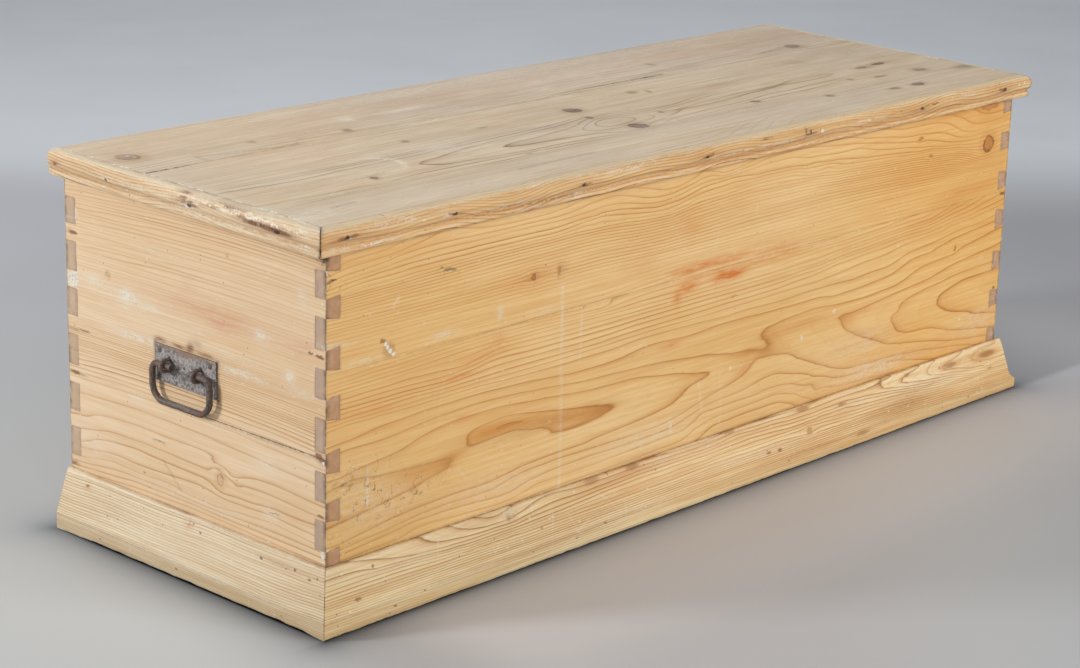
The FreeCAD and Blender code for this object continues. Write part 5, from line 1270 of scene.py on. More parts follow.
def plinth_piece(name, ends, place, node, axis, field, mat, seed, marks, lift=1.2):
    ob = sweep(name, PP, ends, place, step=2.6, bevel=0.5, sharp=30.0)
    P = coords(ob)
    u, v = P[:, axis], P[:, 2]
    phi = field(u, v)
    g = grad(field, u, v)
    f = waves(seed, 10, 0.5, 2.5)
    # rubbed, slightly ragged arrises
    N = normals(ob)
    if axis == 0:
        p = YF - P[:, 1]
    else:
        p = np.where(P[:, 0] < 0, XL - P[:, 0], P[:, 0] - XR)
    top = np.exp(-((v - 79) / 2.0) ** 2)
    foot = np.exp(-((v - 21.7) / 2.5) ** 2)
    low = np.exp(-(v / 2.0) ** 2)
    rag = waves(seed + 5, 16, 1.0, 9.0)(P / 60.0)
    d = -0.5 * (top + 0.6 * foot + 0.9 * low) * np.clip(rag + 0.15, 0, 1.4)
    Q = P + N * d[:, None] + N * (f(P / 70.0) * 0.22)[:, None]
    # the foot has worn away from the floor
    rg = 0.95 + 0.14 * waves(seed + 9, 18, 1.0, 7.0)(np.stack([u / 45.0, u * 0, u * 0], -1))
    run = np.interp(u, [YF - 30, YF - 12, YF + 10, 150, 235], [0.15, 0.5, 1.0, 1.0, 0.1]) if axis == 1 else 1.0
    Q[:, 2] += lift * np.clip(rg, 0.6, 1.4) * np.exp(-(v / 5.0) ** 2) * run
    Q[:, 2] = np.maximum(Q[:, 2], 0.0)
    # at the right-hand corner the foot is lower and the slope runs into it in a hollow
    if axis == 0:
        w = np.clip((P[:, 0] - 330.0) / 370.0, 0, 1)
    else:
        w = np.interp(P[:, 1], [YF - 27, -60, 200], [1.0, 0.8, 0.5]) * (P[:, 0] > 0)
    w = w * w * (3 - 2 * w)
    Q[:, 2] -= 6.0 * w * np.interp(v, [0, 21.7, 78.2, 80], [0, 1, 0, 0])
    dl = (4.0 * np.exp(-((Q[:, 2] - 24) / 14.0) ** 2) + 1.6 * np.exp(-((Q[:, 2] - 47) / 14.0) ** 2)) * w * (p > 4) * (v > 22.5)
    if axis == 0:
        Q[:, 1] += dl
        Q[:, 0] -= dl * np.clip((P[:, 0] - XR) / np.maximum(p, 1.0), 0, 1)
    else:
        Q[:, 0] -= dl
        Q[:, 1] += dl * np.clip((YF - P[:, 1]) / np.maximum(p, 1.0), 0, 1)
    dirt, red, pale, ls = marks(u, v)
    # painted shade along the bottom of the foot by the floor, and a thin darker line at the top of the foot
    dirt = dirt + 0.35 * np.exp(-np.clip(v, 0, 99) / 1.5) * (p > 24) + 0.10 * np.exp(-((v - 21.7) / 1.6) ** 2)
    pale = pale + (0.5 if axis == 1 else 0.28) * np.exp(-((v - 77.5) / 2.0) ** 2)
    # mitres and the joint with the carcase
    edge = (0.85 if axis == 0 else 0.45) * np.exp(-((v - 79) / 1.0) ** 2) * np.exp(-(p / 1.5) ** 2)
    c = np.full(len(P), 99.0)
    if axis == 0:
        c = np.minimum(np.abs(P[:, 0] - (XL - p)), np.abs(P[:, 0] - (XR + p)))
    else:
        c = np.abs(P[:, 1] - (YF - p))
    edge = np.maximum(edge, 0.6 * np.exp(-(c / 0.7) ** 2))
    tan = 0.0
    if axis == 0:
        tan = bumps(u, v, [(-664, 36, 6, 2, 0.5), (-243, 76, 20, 4, 0.6), (-161, 76, 18, 4, 0.6), (200, 75, 22, 3.4, 0.6), (291, 64, 16, 2.4, 0.5),
                           (565, 65, 22, 4.4, 0.8), (664, 64, 28, 5, 0.9), (330, 17, 22, 3, 0.6), (440, 34, 80, 9, 0.5), (20, 76, 40, 3, 0.4),
                           (460, 72, 20, 3, 0.4), (-570, 68, 80, 9, 0.30), (-450, 72, 70, 6, 0.26), (-300, 73, 60, 4, 0.2), (-60, 20, 300, 2.4, 0.4), (600, 25, 100, 4, 0.3)])
    fields(ob, P, phi, g, ls, dirt, red, pale, edge=edge, ge=0.5 * v + 0.3 * p, tan=tan)
    put(ob, Q)
    shade(ob, 14.0)
    use(ob, mat)
    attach(ob, "carcase")
    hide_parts(node)
    return ob


def pf_marks(x, z):
    z0 = np.zeros(len(x))
    dirt = bumps(x, z, [(-397, 66, 4, 2.0, 0.4), (430, 35, 90, 10, 0.16), (-690, 70, 20, 8, 0.12)])
    red = bumps(x, z, [(-170, 77, 30, 7, 0.35), (230, 76, 30, 6, 0.3), (640, 64, 50, 8, 0.45), (-250, 76, 24, 5, 0.35), (565, 65, 30, 6, 0.3),
                       (220, 20, 130, 2.4, 0.7), (440, 35, 80, 10, 0.35), (440, 16, 60, 5, 0.25)])
    red += bumps(x, z, [(-60, 66, 160, 8, 0.22), (200, 62, 120, 10, 0.25), (-180, 50, 90, 10, 0.16), (120, 30, 160, 8, 0.16), (640, 66, 50, 8, 0.25), (-560, 12, 90, 6, 0.10)])
    pale = bumps(x, z, [(-398, 70, 16, 6, 0.45), (-160, 24, 80, 2, 0.45), (500, 55, 90, 12, 0.30), (-500, 22.5, 160, 1.4, 0.35), (-60, 70, 160, 5, 0.2),
                        (60, 40, 120, 8, 0.22), (-600, 60, 90, 10, 0.15), (330, 60, 60, 10, 0.2)])
    ls = np.interp(x, [-700, -400, 0, 700], [0.95, 1.0, 1.0, 1.0]) * np.interp(z, [0, 18, 24, 44, 54], [0.60, 0.60, 0.75, 0.85, 1.15])
    return dirt, red, pale, ls


def pl_marks(y, z):
    dirt = bumps(y, z, [(-170, 65, 60, 2.0, 0.25), (100, 4, 60, 3, 0.15)])
    red = bumps(y, z, [(194, 66, 7, 5, 0.4), (-5, 68, 8, 9, 0.35), (-190, 65, 40, 4, 0.25)])
    pale = bumps(y, z, [(60, 45, 120, 30, 0.22), (-60, 22.5, 150, 1.4, 0.4)])
    return dirt, red, pale, np.interp(z, [0, 18, 24, 60, 70], [0.7, 0.7, 0.95, 1.0, 1.15])


def no_marks(u, z):
    zz = np.zeros(len(u))
    return zz, zz, zz, np.full(len(u), 0.8)


PLINTH_FRONT = [(k, [(-725, 46 - (10 - k) * 2.8), (-365, 40 - (10 - k) * 2.6), (0, 41 - (10 - k) * 2.8), (355, 37.5 - (10 - k) * 2.6),
                    (700, 23 - (10 - k) * 1.8)]) for k in range(-6, 10)] + [
    (10, [(-725, 46), (-600, 45.5), (-475, 42), (-365, 40), (-200, 40), (0, 41), (190, 38), (355, 37.5), (500, 33), (628, 27), (700, 23)]),
    (11, [(-725, 50.5), (-600, 50), (-518, 48), (-430, 46), (-365, 44.5), (-200, 44.5), (0, 46), (150, 45), (188, 42), (240, 45),
          (355, 41.5), (500, 36), (628, 29.5), (700, 25.5)]),
    (12, [(-725, 55), (-640, 55), (-560, 53), (-475, 48.5), (-365, 47.5), (-222, 48), (0, 50), (174, 50), (200, 49.5), (240, 49.5),
          (355, 45.5), (457, 41.5), (540, 36.5), (628, 31), (700, 27)]),
    (13, [(-725, 61), (-650, 60), (-590, 57.5), (-518, 53), (-427, 50.5), (-368, 50), (-222, 53), (-139, 54.5), (-8, 54), (90, 56),
          (150, 53.5), (197, 52.6), (240, 53), (355, 49.5), (457, 44.5), (540, 39.5), (628, 33.5), (700, 28.5)]),
    (14, [(-725, 68), (-695, 68), (-651, 66), (-622, 61.5), (-558, 58.5), (-475, 54.5), (-392, 54), (-300, 55.5), (-222, 59), (-139, 61),
          (-8, 60), (90, 61.5), (138, 60), (174, 57.5), (197, 56.5), (240, 58.5), (300, 58), (328, 55), (400, 51.5), (457, 48),
          (540, 42.5), (628, 36), (700, 31)]),
    (15, [(-677, 80), (-646, 76), (-618, 71), (-592, 66), (-558, 62), (-475, 58.5), (-392, 57.5), (-317, 60), (-222, 63), (-139, 65),
          (-8, 63.5), (57, 67), (90, 66), (138, 64.5), (174, 62.5), (233, 61), (300, 61.5), (350, 60), (402, 56), (457, 51), (540, 45.5),
          (628, 38.5), (700, 34)]),
    (16, [(-549, 79), (-535, 72), (-511, 66.5), (-473, 63), (-427, 62), (-392, 62), (-345, 65), (-305, 68), (-270, 67), (-222, 68),
          (-139, 69.5), (-79, 68.5), (-8, 67.5), (57, 71.5), (90, 70), (138, 69), (174, 67), (233, 66), (300, 67), (350, 64),
          (402, 59.5), (450, 54.5), (500, 50.5), (560, 47), (620, 41), (700, 37)]),
    (17, [(-496, 79), (-473, 71), (-439, 66), (-405, 66), (-365, 71), (-340, 77)]),
    (17, [(414, 77), (395, 75), (388, 72.6), (391, 68), (402, 63.5), (450, 57.5), (500, 54), (560, 50), (620, 43.5), (700, 39.5)]),
    (18, [(486, 77), (455, 72.6), (437, 68), (457, 62), (498, 58), (560, 53), (620, 46), (700, 42.5)]),
    (19, [(521, 76), (510, 72), (508, 69), (521, 60.7), (560, 56.5), (620, 49), (700, 45.5)]),
    (20, [(600, 77), (581, 73), (550, 68), (545, 65.5), (560, 61.5), (581, 59.5), (628, 52.5), (665, 47), (700, 49)]),
    (21, [(690, 75), (640, 72.6), (624, 68), (621, 64), (640, 60), (665, 57), (700, 56)])]
pfk = part_round(tabulate(fit_lines(PLINTH_FRONT, lam=1.0), XL - 30, XR + 30, -2.0, 82.0, 4.0, 1.5), [(209, 44.7, 14, 8, 0.6), (-394, 68.5, 18, 8, 0.4)])


def pf(u, v):
    """The square foot below has closer lines than the slope."""
    return pfk(u, v) + 0.08 * np.clip(21.7 - np.ravel(v), 0, 30)


pl0 = log_field(95, 140.0, 40.0, 3.0, drift=4.0)


def pl(u, v):
    return pl0(u, v, 0.0) + 0.10 * np.clip(24.0 - np.ravel(v), 0, 30)



pr = log_field(97, -60.0, 40.0, 4.2, drift=4.0)
plinth_piece("front_plinth_board", (lambda p: XL - p, lambda p: XR + p), lambda s, p, h: (s, YF - p, h), "plinth_front", 0,
             lambda a, b: pf(a, b), "plinth_pine", 93, pf_marks, lift=1.5)
plinth_piece("left_plinth_board", (lambda p: YF - p, lambda p: YB), lambda s, p, h: (XL - p, s, h), "plinth_left", 1,
             pl, "plinth_end_pine", 96, pl_marks, lift=3.4)
plinth_piece("right_plinth_board", (lambda p: YF - p, lambda p: YB), lambda s, p, h: (XR + p, s, h), "plinth_right", 1,
             lambda a, b: pr(a, b), "plinth_end_pine", 98, no_marks)

# ---------------------------------------------------------------- lid boards
lf_field = part_round(tabulate(fit_lines(LID_FRONT), LIDX[0], LIDX[1], LIDY[0], 75.0),
                      [(-671, 147, 50, 32, 0.5), (-30, -7, 34, 24, 0.45), (-27, -124, 34, 24, 0.45), (590, -67, 40, 14, 0.5), (515, -194, 36, 13, 0.5),
                       (608, -131, 26, 16, 0.4), (463, -191, 30, 10, 0.4)])
lb1 = log_field(101, 40.0, 15.0, 11.0, drift=6.0)
lbk = part_round(lambda u, v: lb1(u, v, 0.0), [(-671, 147, 50, 32, 0.6), (-356, 90, 20, 12, 0.5), (592, 98, 30, 20, 0.5), (-497, 116, 16, 10, 0.4)])


def lid_slab(name, y0, y1, node, field, seed, front):
    ob = slab(name, LIDX, (y0, y1), (Z1, Z1 + LIDT), step=3.5, flat=2, bevel=0.9)
    P = coords(ob)
    x, y, z = P.T
    phi = field(x, y)
    g = grad(field, x, y)
    phi = phi + 0.1 * (Z1 + LIDT - z)
    n1 = waves(331, 14, 0.5, 3.0)(np.stack([x / 260.0, y / 60.0, x * 0], -1))
    def zone(x0, x1, y0, y1, sx, sy):
        a = 0.25 * (1 + np.tanh((x - x0) / sx)) * (1 - np.tanh((x - x1) / sx))
        return a * 0.25 * (1 + np.tanh((y - y0) / sy)) * (1 - np.tanh((y - y1) / sy))

    if front:
        ls = 0.15 + 1.05 * zone(-440, 10, -148, -44, 30, 5) + 0.8 * zone(-720, -400, -70, -44, 40, 4) + 0.32 * zone(-700, -440, -150, -96, 40, 5) \
            + 0.34 * zone(-720, -290, -176, -148, 40, 4) + 0.6 * zone(30, 460, -128, -60, 30, 6) + 0.30 * zone(40, 300, -60, -34, 30, 4) \
            + 0.30 * zone(20, 260, -150, -128, 30, 4)
    else:
        ls = 0.14 + 0.34 * np.exp(-((y - 94) / 16.0) ** 2) * np.interp(x, [-700, 250, 400, 700], [1, 1, 0.6, 0.4])
    ls = ls * (1 + 0.25 * n1) * (1 - np.interp(x, [-470, -435], [1, 0]) * (1 - np.clip((g - 0.008) / 0.022, 0.06, 1.0)))
    top = z > Z1 + 9
    dirt = bumps(x, y, [(685, -160, 26, 12, 0.50), (560, -75, 14, 6, 0.3), (450, -160, 60, 12, 0.14), (650, -30, 70, 60, 0.10),
                        (-356, 90, 9, 8, 0.25), (230, 80, 30, 4, 0.4), (150, 79, 70, 3.0, 0.4), (600, 60, 90, 60, 0.08),
                        (500, 10, 20, 12, 0.2), (-260, -145, 7, 3, 0.45), (540, 95, 34, 3.0, 0.35), (-120, -60, 60, 8, 0.12)])
    dirt += strokes(x, y, [(-604, 100, -604, 72, 2.6, 0.25), (-600, 98, -560, 87, 2.4, 0.30), (-560, 87, -505, 80, 2.4, 0.30), (-500, 72, -458, 72, 2.4, 0.25),
                           (-458, 72, -452, 82, 2.6, 0.25), (-440, 92, -360, 80, 2.4, 0.22), (-360, 80, -250, 76, 2.4, 0.22), (-250, 76, 0, 72, 2.4, 0.16),
                           (0, 72, 60, 82, 2.4, 0.25), (60, 82, 190, 80, 2.6, 0.30), (190, 80, 262, 80, 3.4, 0.40), (200, 88, 280, 97, 2.4, 0.22),
                           (280, 97, 440, 106, 2.4, 0.16), (500, 90, 570, 106, 2.6, 0.22), (-190, -190, -330, -194, 2.6, 0.25), (-600, -186, -640, -190, 3.0, 0.25)])
    red = bumps(x, y, [(-500, 45, 160, 34, 0.25), (-100, 20, 140, 46, 0.22), (-560, 60, 50, 12, 0.2), (60, 40, 90, 26, 0.18), (300, -60, 160, 40, 0.12)])
    n2 = waves(335, 16, 1.0, 8.0)(np.stack([y / 60.0, y * 0, y * 0], -1))
    pale = bumps(x, y, [(-690, -210, 44, 34, 0.35), (-640, -195, 70, 24, 0.30), (-600, -60, 80, 16, 0.15), (-330, -60, 32, 26, 0.5),
                        (-270, -70, 26, 22, 0.35), (-312, 140, 16, 13, 0.7), (-210, 136, 50, 7, 0.75), (0, 215, 700, 22, 0.35),
                        (-540, -100, 34, 10, 0.3), (40, 110, 12, 9, 0.4), (-700, -50, 8, 160, 0.3), (-230, 66, 50, 5, 0.7),
                        (-445, -60, 14, 9, 0.3), (100, 160, 160, 40, 0.22), (430, 180, 160, 40, 0.12), (-420, -215, 160, 12, 0.3)])
    # faint ring left by something wet
    r = np.hypot((x + 458) / 38.0, (y + 70) / 36.0)
    pale += 0.95 * np.exp(-((r - 1) / 0.13) ** 2) * (0.55 + 0.45 * np.cos(np.arctan2(y + 70, x + 458)))
    pale = pale * top
    red = red * top
    dirt = dirt * top
    jl = np.interp(x, [-706, -650, -630, -600, -460, -440, -260, -240, 0, 20, 260, 280, 700],
                   [1.0, 1.0, 0.22, 0.18, 0.25, 0.08, 0.08, 0.2, 0.3, 0.35, 0.35, 0.2, 0.2])
    edge = np.exp(-((y - LIDJ) / 1.3) ** 2) * top * jl + 0.4 * np.exp(-((x - LIDX[0]) / 1.4) ** 2) * top * np.clip(0.3 - 0.9 * n2, 0, 1)
    edge += 0.12 * np.exp(-((y - LIDY[0]) / 1.6) ** 2) * top
    edge = np.clip(edge, 0, 1)
    fill = bumps(x, y, [(-705, -150, 2.5, 18, 0.9), (-705, -35, 2.5, 8, 0.9), (-705, -195, 2.5, 8, 0.7)]) * top
    fill = fill + 0.8 * np.exp(-((x - LIDX[0] - 1) / 3.0) ** 2) * top * np.clip(0.25 + 1.1 * n2, 0, 1.1)
    back_pink = np.zeros(len(P)) if front else 0.35 * np.exp(-((y - 170) / 60.0) ** 2) * top
    red = red + back_pink
    fields(ob, P, phi, g, ls, dirt, red, pale, edge=edge, fill=fill, ge=0.4 * y + 0.3 * z)
    Q = wear(ob, P, seed, 0.3, 80.0)
    Q = tilt_pts(Q)
    put(ob, Q)
    shade(ob)
    use(ob, "lid_pine")
    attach(ob, "lid")
    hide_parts(node)
    return ob


lid_slab("lid_front_plank", LIDY[0], LIDJ, "lid_board_front", lf_field, 102, True)
lid_slab("lid_back_plank", LIDJ, LIDY[1], "lid_board_back", lbk, 104, False)

# ---------------------------------------------------------------- lid mouldings
T, H = MT, MH
MP = [(0, 0)] + line_pts((0, 0), (T - 6.3, 0), 3) + arc_pts((T - 6.3, 0), (T - 3.2, 1.7), (T - 2.6, 4.6), 5) \
    + arc_pts((T - 2.6, 4.6), (T - 3.0, 7.0), (T - 4.2, 8.4), 4) + arc_pts((T - 4.2, 8.4), (T - 4.6, 10.6), (T - 3.6, 12.4), 4) \
    + line_pts((T - 3.6, 12.4), (T - 1.9, 13.4), 2) + arc_pts((T - 1.9, 13.4), (T, 20.4), (T - 1.9, 27.6), 8) \
    + arc_pts((T - 1.9, 27.6), (T - 4.6, 31.6), (T - 9.2, H), 6) + line_pts((T - 9.2, H), (0, H), 4) + line_pts((0, H), (0, 0), 6)[:-1]
MZ = Z1 + LIDT - MH


def mould_piece(name, ends, place, node, axis, field, mat, seed, marks, chip):
    ob = sweep(name, MP, ends, place, step=2.1, bevel=0.3, sharp=40.0)
    P = coords(ob)
    u, h = P[:, axis], P[:, 2] - MZ
    if axis == 0:
        p = LIDY[0] - P[:, 1]
        c = np.minimum(np.abs(P[:, 0] - (LIDX[0] - p)), np.abs(P[:, 0] - (LIDX[1] + p)))
    else:
        p = np.where(P[:, 0] < 0, LIDX[0] - P[:, 0], P[:, 0] - LIDX[1])
        c = np.abs(P[:, 1] - (LIDY[0] - p))
    phi = field(u, h * 1.0 + (T - p) * 0.55)
    g = grad(field, u, h)
    N = normals(ob)
    f = waves(seed, 12, 0.5, 3.0)
    rag = waves(seed + 3, 18, 1.0, 8.0)(np.stack([u / 40.0, h / 12.0, h * 0], -1))
    edge = np.exp(-((h - MH) / 3.4) ** 2)
    bead = np.exp(-((h - 1.5) / 2.5) ** 2)
    d = f(P / 50.0) * 0.22 - 0.45 * (edge + 0.5 * bead) * np.clip(rag + 0.1, 0, 1.3)
    Q = P + N * d[:, None]
    Q = chip(u, h, P, Q, N)
    dirt, red, pale, ls = marks(u, h)
    # mitres, the joint with the lid boards, and painted shade in the cove
    n1 = waves(seed + 7, 14, 1.0, 7.0)(np.stack([u / 50.0, u * 0, u * 0], -1))
    edge = 0.9 * np.exp(-(c / 1.3) ** 2) * (p > -1)
    edge = np.maximum(edge, (0.12 if axis == 0 else 0.5) * np.exp(-(p / 1.4) ** 2) * (h > MH - 4) * np.clip(0.6 - n1, 0, 1))
    dirt = dirt + 0.14 * np.exp(-((h - 9.6) / 1.0) ** 2)
    # painted shade in the open mitre, darkest at its foot under the moulding
    dirt = dirt + 0.7 * np.exp(-(c / 3.0) ** 2) * np.exp(-(h / 5.0) ** 2) + 0.25 * np.exp(-(c / 4.0) ** 2)
    # darker bands: painted shade in the cove and under the round, and a darker band on the round
    tan = 0.6 * np.exp(-((h - 9.4) / 1.1) ** 2) + 0.35 * np.exp(-((h - 14.6) / 0.9) ** 2) + 0.3 * np.exp(-((h - 25) / 1.4) ** 2)
    # pale bands on the bead, the fillet and the top round: painted highlights and rubbed wear
    pale = pale + 0.30 * np.exp(-((h - 12.3) / 1.0) ** 2) + 0.26 * np.exp(-((h - 5.0) / 1.8) ** 2) + 0.20 * np.exp(-((h - 31.5) / 3.0) ** 2)
    if axis == 1:
        pale = pale + 0.8 * np.clip(0.2 + 1.1 * n1, 0, 1) * np.exp(-((p - 2.0) / 3.0) ** 2) * (h > MH - 4)
    rust = np.clip(red - 0.25, 0, 1) * 1.2 if axis == 1 else 0.0
    fields(ob, P, phi, g, ls, dirt, red, pale, edge=edge, ge=0.5 * h + 0.4 * p, rust=rust, tan=tan)
    Q = tilt_pts(Q)
    put(ob, Q)
    shade(ob, 40.0)
    use(ob, mat)
    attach(ob, "lid")
    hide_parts(node)
    return ob


def no_chip(u, h, P, Q, N):
    return Q


def mf_marks(x, h):
    nails = (-680, -509, -284, -46, 174, 434, 645)
    dirt = np.zeros(len(x))
    for i, a in enumerate(nails):
        w = (16, 10, 9, 12, 9, 10, 15)[i]
        dirt += bumps(x, h, [(a + 3, 19.2, w * 0.5, 1.8, 0.5), (a - 5, 19.4, w * 0.4, 1.5, 0.35)])
    dirt += bumps(x, h, [(80, 26, 12, 1.4, 0.4), (166, 24, 4, 6, 0.6),
                         (655, 3, 14, 3, 0.3), (-330, 9.4, 90, 1.4, 0.25)])
    pale = bumps(x, h, [(-520, 20, 12, 2, 0.6), (-640, 6, 24, 2.5, 0.5), (310, 20, 40, 2.4, 0.5), (60, 16, 120, 3, 0.35), (-200, 27, 60, 3, 0.4),
                        (-290, 8, 12, 4, 0.4), (-690, 9, 16, 2.4, 0.5), (-600, 25, 60, 4, 0.35), (540, 25, 60, 3, 0.3), (-420, 15, 50, 3, 0.3)])
    red = bumps(x, h, [(-360, 4, 60, 2.5, 0.45), (620, 1, 30, 4, 0.6), (100, 12, 90, 2, 0.35), (-46, 19, 30, 3.4, 0.5), (-680, 19, 34, 3.4, 0.55),
                       (-509, 19, 24, 3.4, 0.5), (-284, 19, 26, 3.4, 0.5), (174, 19, 24, 3.4, 0.5), (434, 19, 28, 3.4, 0.5), (645, 19, 30, 3.4, 0.55)])
    return dirt, red, pale, np.full(len(x), 1.0)


def ml_marks(y, h):
    dirt = bumps(y, h, [(-200, 19, 18, 2.2, 0.55), (-160, 21, 16, 2.2, 0.5), (-145, 20, 22, 2.2, 0.45), (-30, 22, 16, 1.8, 0.45), (-70, 24, 18, 1.6, 0.4),
                        (-100, 29, 24, 1.8, 0.45)])
    red = bumps(y, h, [(-188, 19, 28, 4, 0.75), (-150, 21, 32, 3.4, 0.65), (-30, 20, 24, 3.4, 0.6), (226, 19, 10, 3, 0.5), (-22, 31, 14, 2.4, 0.6),
                       (-110, 31, 40, 2.4, 0.45)])
    pale = bumps(y, h, [(-31, 15, 6, 4, 1.1), (-20, 18, 12, 2.4, 0.7), (-155, 27, 36, 3.4, 0.95), (-110, 25, 34, 2.6, 0.8), (-185, 26, 18, 3.4, 0.9),
                        (-60, 27, 44, 2.4, 0.6), (-225, 25, 16, 4, 0.7), (60, 20, 120, 5, 0.35), (-80, 9, 150, 2.4, 0.45), (-233, 10, 12, 3, 0.6)])
    return dirt, red, pale, np.full(len(y), 0.95)


def ml_chip(u, h, P, Q, N):
    """The top edge of the end moulding has broken away in splinters."""
    w = waves(211, 22, 1.0, 10.0)(np.stack([u / 55.0, u * 0, u * 0], -1))
    zone = np.exp(-((u + 150) / 80.0) ** 2) + 0.5 * np.exp(-((u + 20) / 60.0) ** 2) + 0.18
    top = np.clip((h - 25.0) / 8.5, 0, 1)
    out = np.clip((np.abs(P[:, 0] - LIDX[0]) - 3.0) / 6.0, 0, 1)
    d = np.clip(w * 0.9 + 0.25, 0, 1.3) * zone * top * out
    Q = Q.copy()
    Q[:, 2] -= d * 2.6
    Q[:, 0] += d * 1.2
    # the far corner is rounded over by wear
    r = np.clip((u - 233.0) / 9.5, 0, 1) ** 2
    p = np.clip((LIDX[0] - P[:, 0]) / MT, 0, 1)
    Q[:, 0] += r * 0.6 * p
    Q[:, 2] += r * p * (2.8 * np.exp(-(h / 7.0) ** 2) - 1.4 * np.exp(-((h - MH) / 5.0) ** 2))
    return Q


mfl = log_field(111, -40.0, 60.0, 3.1, drift=5.0)
mll = log_field(115, -50.0, 60.0, 3.2, drift=5.0)
mould_piece("front_lid_moulding", (lambda p: LIDX[0] - p + 0.35, lambda p: LIDX[1] + p - 0.12), lambda s, p, h: (s, LIDY[0] - p, MZ + h),
            "lid_moulding_front", 0, lambda a, b: mfl(a, b), "moulding_pine", 112, mf_marks, no_chip)
mould_piece("left_lid_moulding", (lambda p: LIDY[0] - p + 0.35, lambda p: LIDY[1]), lambda s, p, h: (LIDX[0] - p, s, MZ + h),
            "lid_moulding_left", 1, lambda a, b: mll(a, b), "moulding_end_pine", 116, ml_marks, ml_chip)
mould_piece("right_lid_moulding", (lambda p: LIDY[0] - p, lambda p: LIDY[1]), lambda s, p, h: (LIDX[1] + p, s, MZ + h),
            "lid_moulding_right", 1, lambda a, b: mll(a + 300, b), "moulding_end_pine", 118, no_marks, no_chip)

# ---------------------------------------------------------------- iron
def forged(node, name, body, mat, voxel, amp, size, seed):
    """A hand-made copy of an iron part: the same shape with hammered, worn faces."""
    src = frame["nodes"][node]
    me = src.data.copy()
    tmp = bpy.data.objects.new("tmp_" + name, me)
    bpy.context.scene.collection.objects.link(tmp)
    md = tmp.modifiers.new("r", "REMESH")
    md.mode = "VOXEL"
    md.voxel_size = voxel
    md.use_smooth_shade = True
    dg = bpy.context.evaluated_depsgraph_get()
    out = bpy.data.meshes.new_from_object(tmp.evaluated_get(dg))
    bpy.data.objects.remove(tmp)
    ob = bpy.data.objects.new(name, out)
    bpy.context.scene.collection.objects.link(ob)
    P = coords(ob) * 1000.0
    N = normals(ob)
    f1, f2 = waves(seed, 20, 0.6, 4.0), waves(seed + 1, 30, 1.0, 7.0)
    d = f1(P / size) * amp + f2(P / (size * 0.35)) * amp * 0.45
    Q = P + N * (d - abs(amp) * 0.5)[:, None]
    for k in ("rust", "dirt", "rub"):
        attr(ob, k, np.zeros(len(P)))
    put(ob, Q * 0.001, scale=False)
    for p in out.polygons:
        p.use_smooth = True
    use(ob, mat)
    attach(ob, body)
    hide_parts(node)
    return ob, P, N


DONE = set()
for sd in ("left", "right"):
    s0 = -1 if sd == "left" else 1
    hb = sd + "_handle"
    for part, body, slotname, mat, vox, amp, size in (
            ("plate", "carcase", "plate_iron", "plate_iron", 0.0006, 0.16, 16.0),
            ("staples", "carcase", "handle_iron", "handle_iron", 0.0004, 0.14, 6.0),
            ("bail", hb, "handle_iron", "handle_iron", 0.0005, 0.20, 9.0),
            ("nails", "carcase", "nail_iron", "nail_iron", 0.0004, 0.14, 5.0)):
        node = "handle_%s_%s" % (sd, part)
        ob, P, N = forged(node, "%s_handle_%s" % (sd, part), body, mat, vox, amp, size, 500 + 7 * len(DONE))
        DONE.add(node)
        y, z = P[:, 1] - YS - 7.5, P[:, 2] - 262.4
        if part == "plate":
            edge = np.maximum(np.abs(y) - 54.0, np.abs(z) - 20.0)
            rust = 0.75 * np.exp(-((z - 22) / 3.0) ** 2) * (0.4 + 0.6 * np.exp(-((y - 0) / 40.0) ** 2)) + 0.5 * bumps(y, z, [(-2, 20, 10, 6, 1.2), (-48, -8, 8, 8, 0.5)])
            # painted shade on the plate's side faces and round the staple eyes; darker spots at the centre and a darker
            # band below the staples
            dirt = 0.55 * np.clip(edge / 4.0, 0, 1) * (N[:, 0] * s0 < 0.6) + 0.6 * bumps(y, z, [(29.5, 0, 7, 7, 1.0), (-29.5, 0, 7, 7, 1.0), (0, 3, 3, 3, 1.0)])
            dirt += 0.4 * np.exp(-((z + 6) / 5.0) ** 2) * (np.abs(y) < 34)
            rub = 0.5 * bumps(y, z, [(0, 12, 30, 4, 0.6), (46, 10, 8, 8, 0.7), (-46, 8, 8, 8, 0.7), (0, 3, 5, 5, 0.8), (-50, -14, 8, 5, 0.9)])
        elif part == "bail":
            rust = 0.35 * np.exp(-((np.abs(y) - 40) / 8.0) ** 2)
            # painted shade on the bail's undersides; at the grip the top faces are lighter, rubbed wear and painted
            # highlight
            dirt = 0.35 * (N[:, 2] < -0.4)
            rub = 0.45 * np.clip(N[:, 2], 0, 1) * np.exp(-(y / 30.0) ** 2)
        else:
            rust, dirt, rub = 0.25, 0.15, 0.2
        n = len(P)
        for k, v in (("rust", rust), ("dirt", dirt), ("rub", rub)):
            attr(ob, k, np.broadcast_to(np.asarray(v, float), (n,)))

for n, o in frame["nodes"].items():
    m = None
    if n in DONE:
        continue
    if n.startswith("hinge_") and n.endswith(("leaf", "pin")):
        m = "hinge_iron"
    elif n.endswith("screws"):
        m = "screw_steel"
    elif n.endswith("nails"):
        m = "nail_iron"
    if m:
        if not o.material_slots:
            o.data.materials.append(MATS[m])
        for q in o.material_slots:
            q.material = MATS[m]

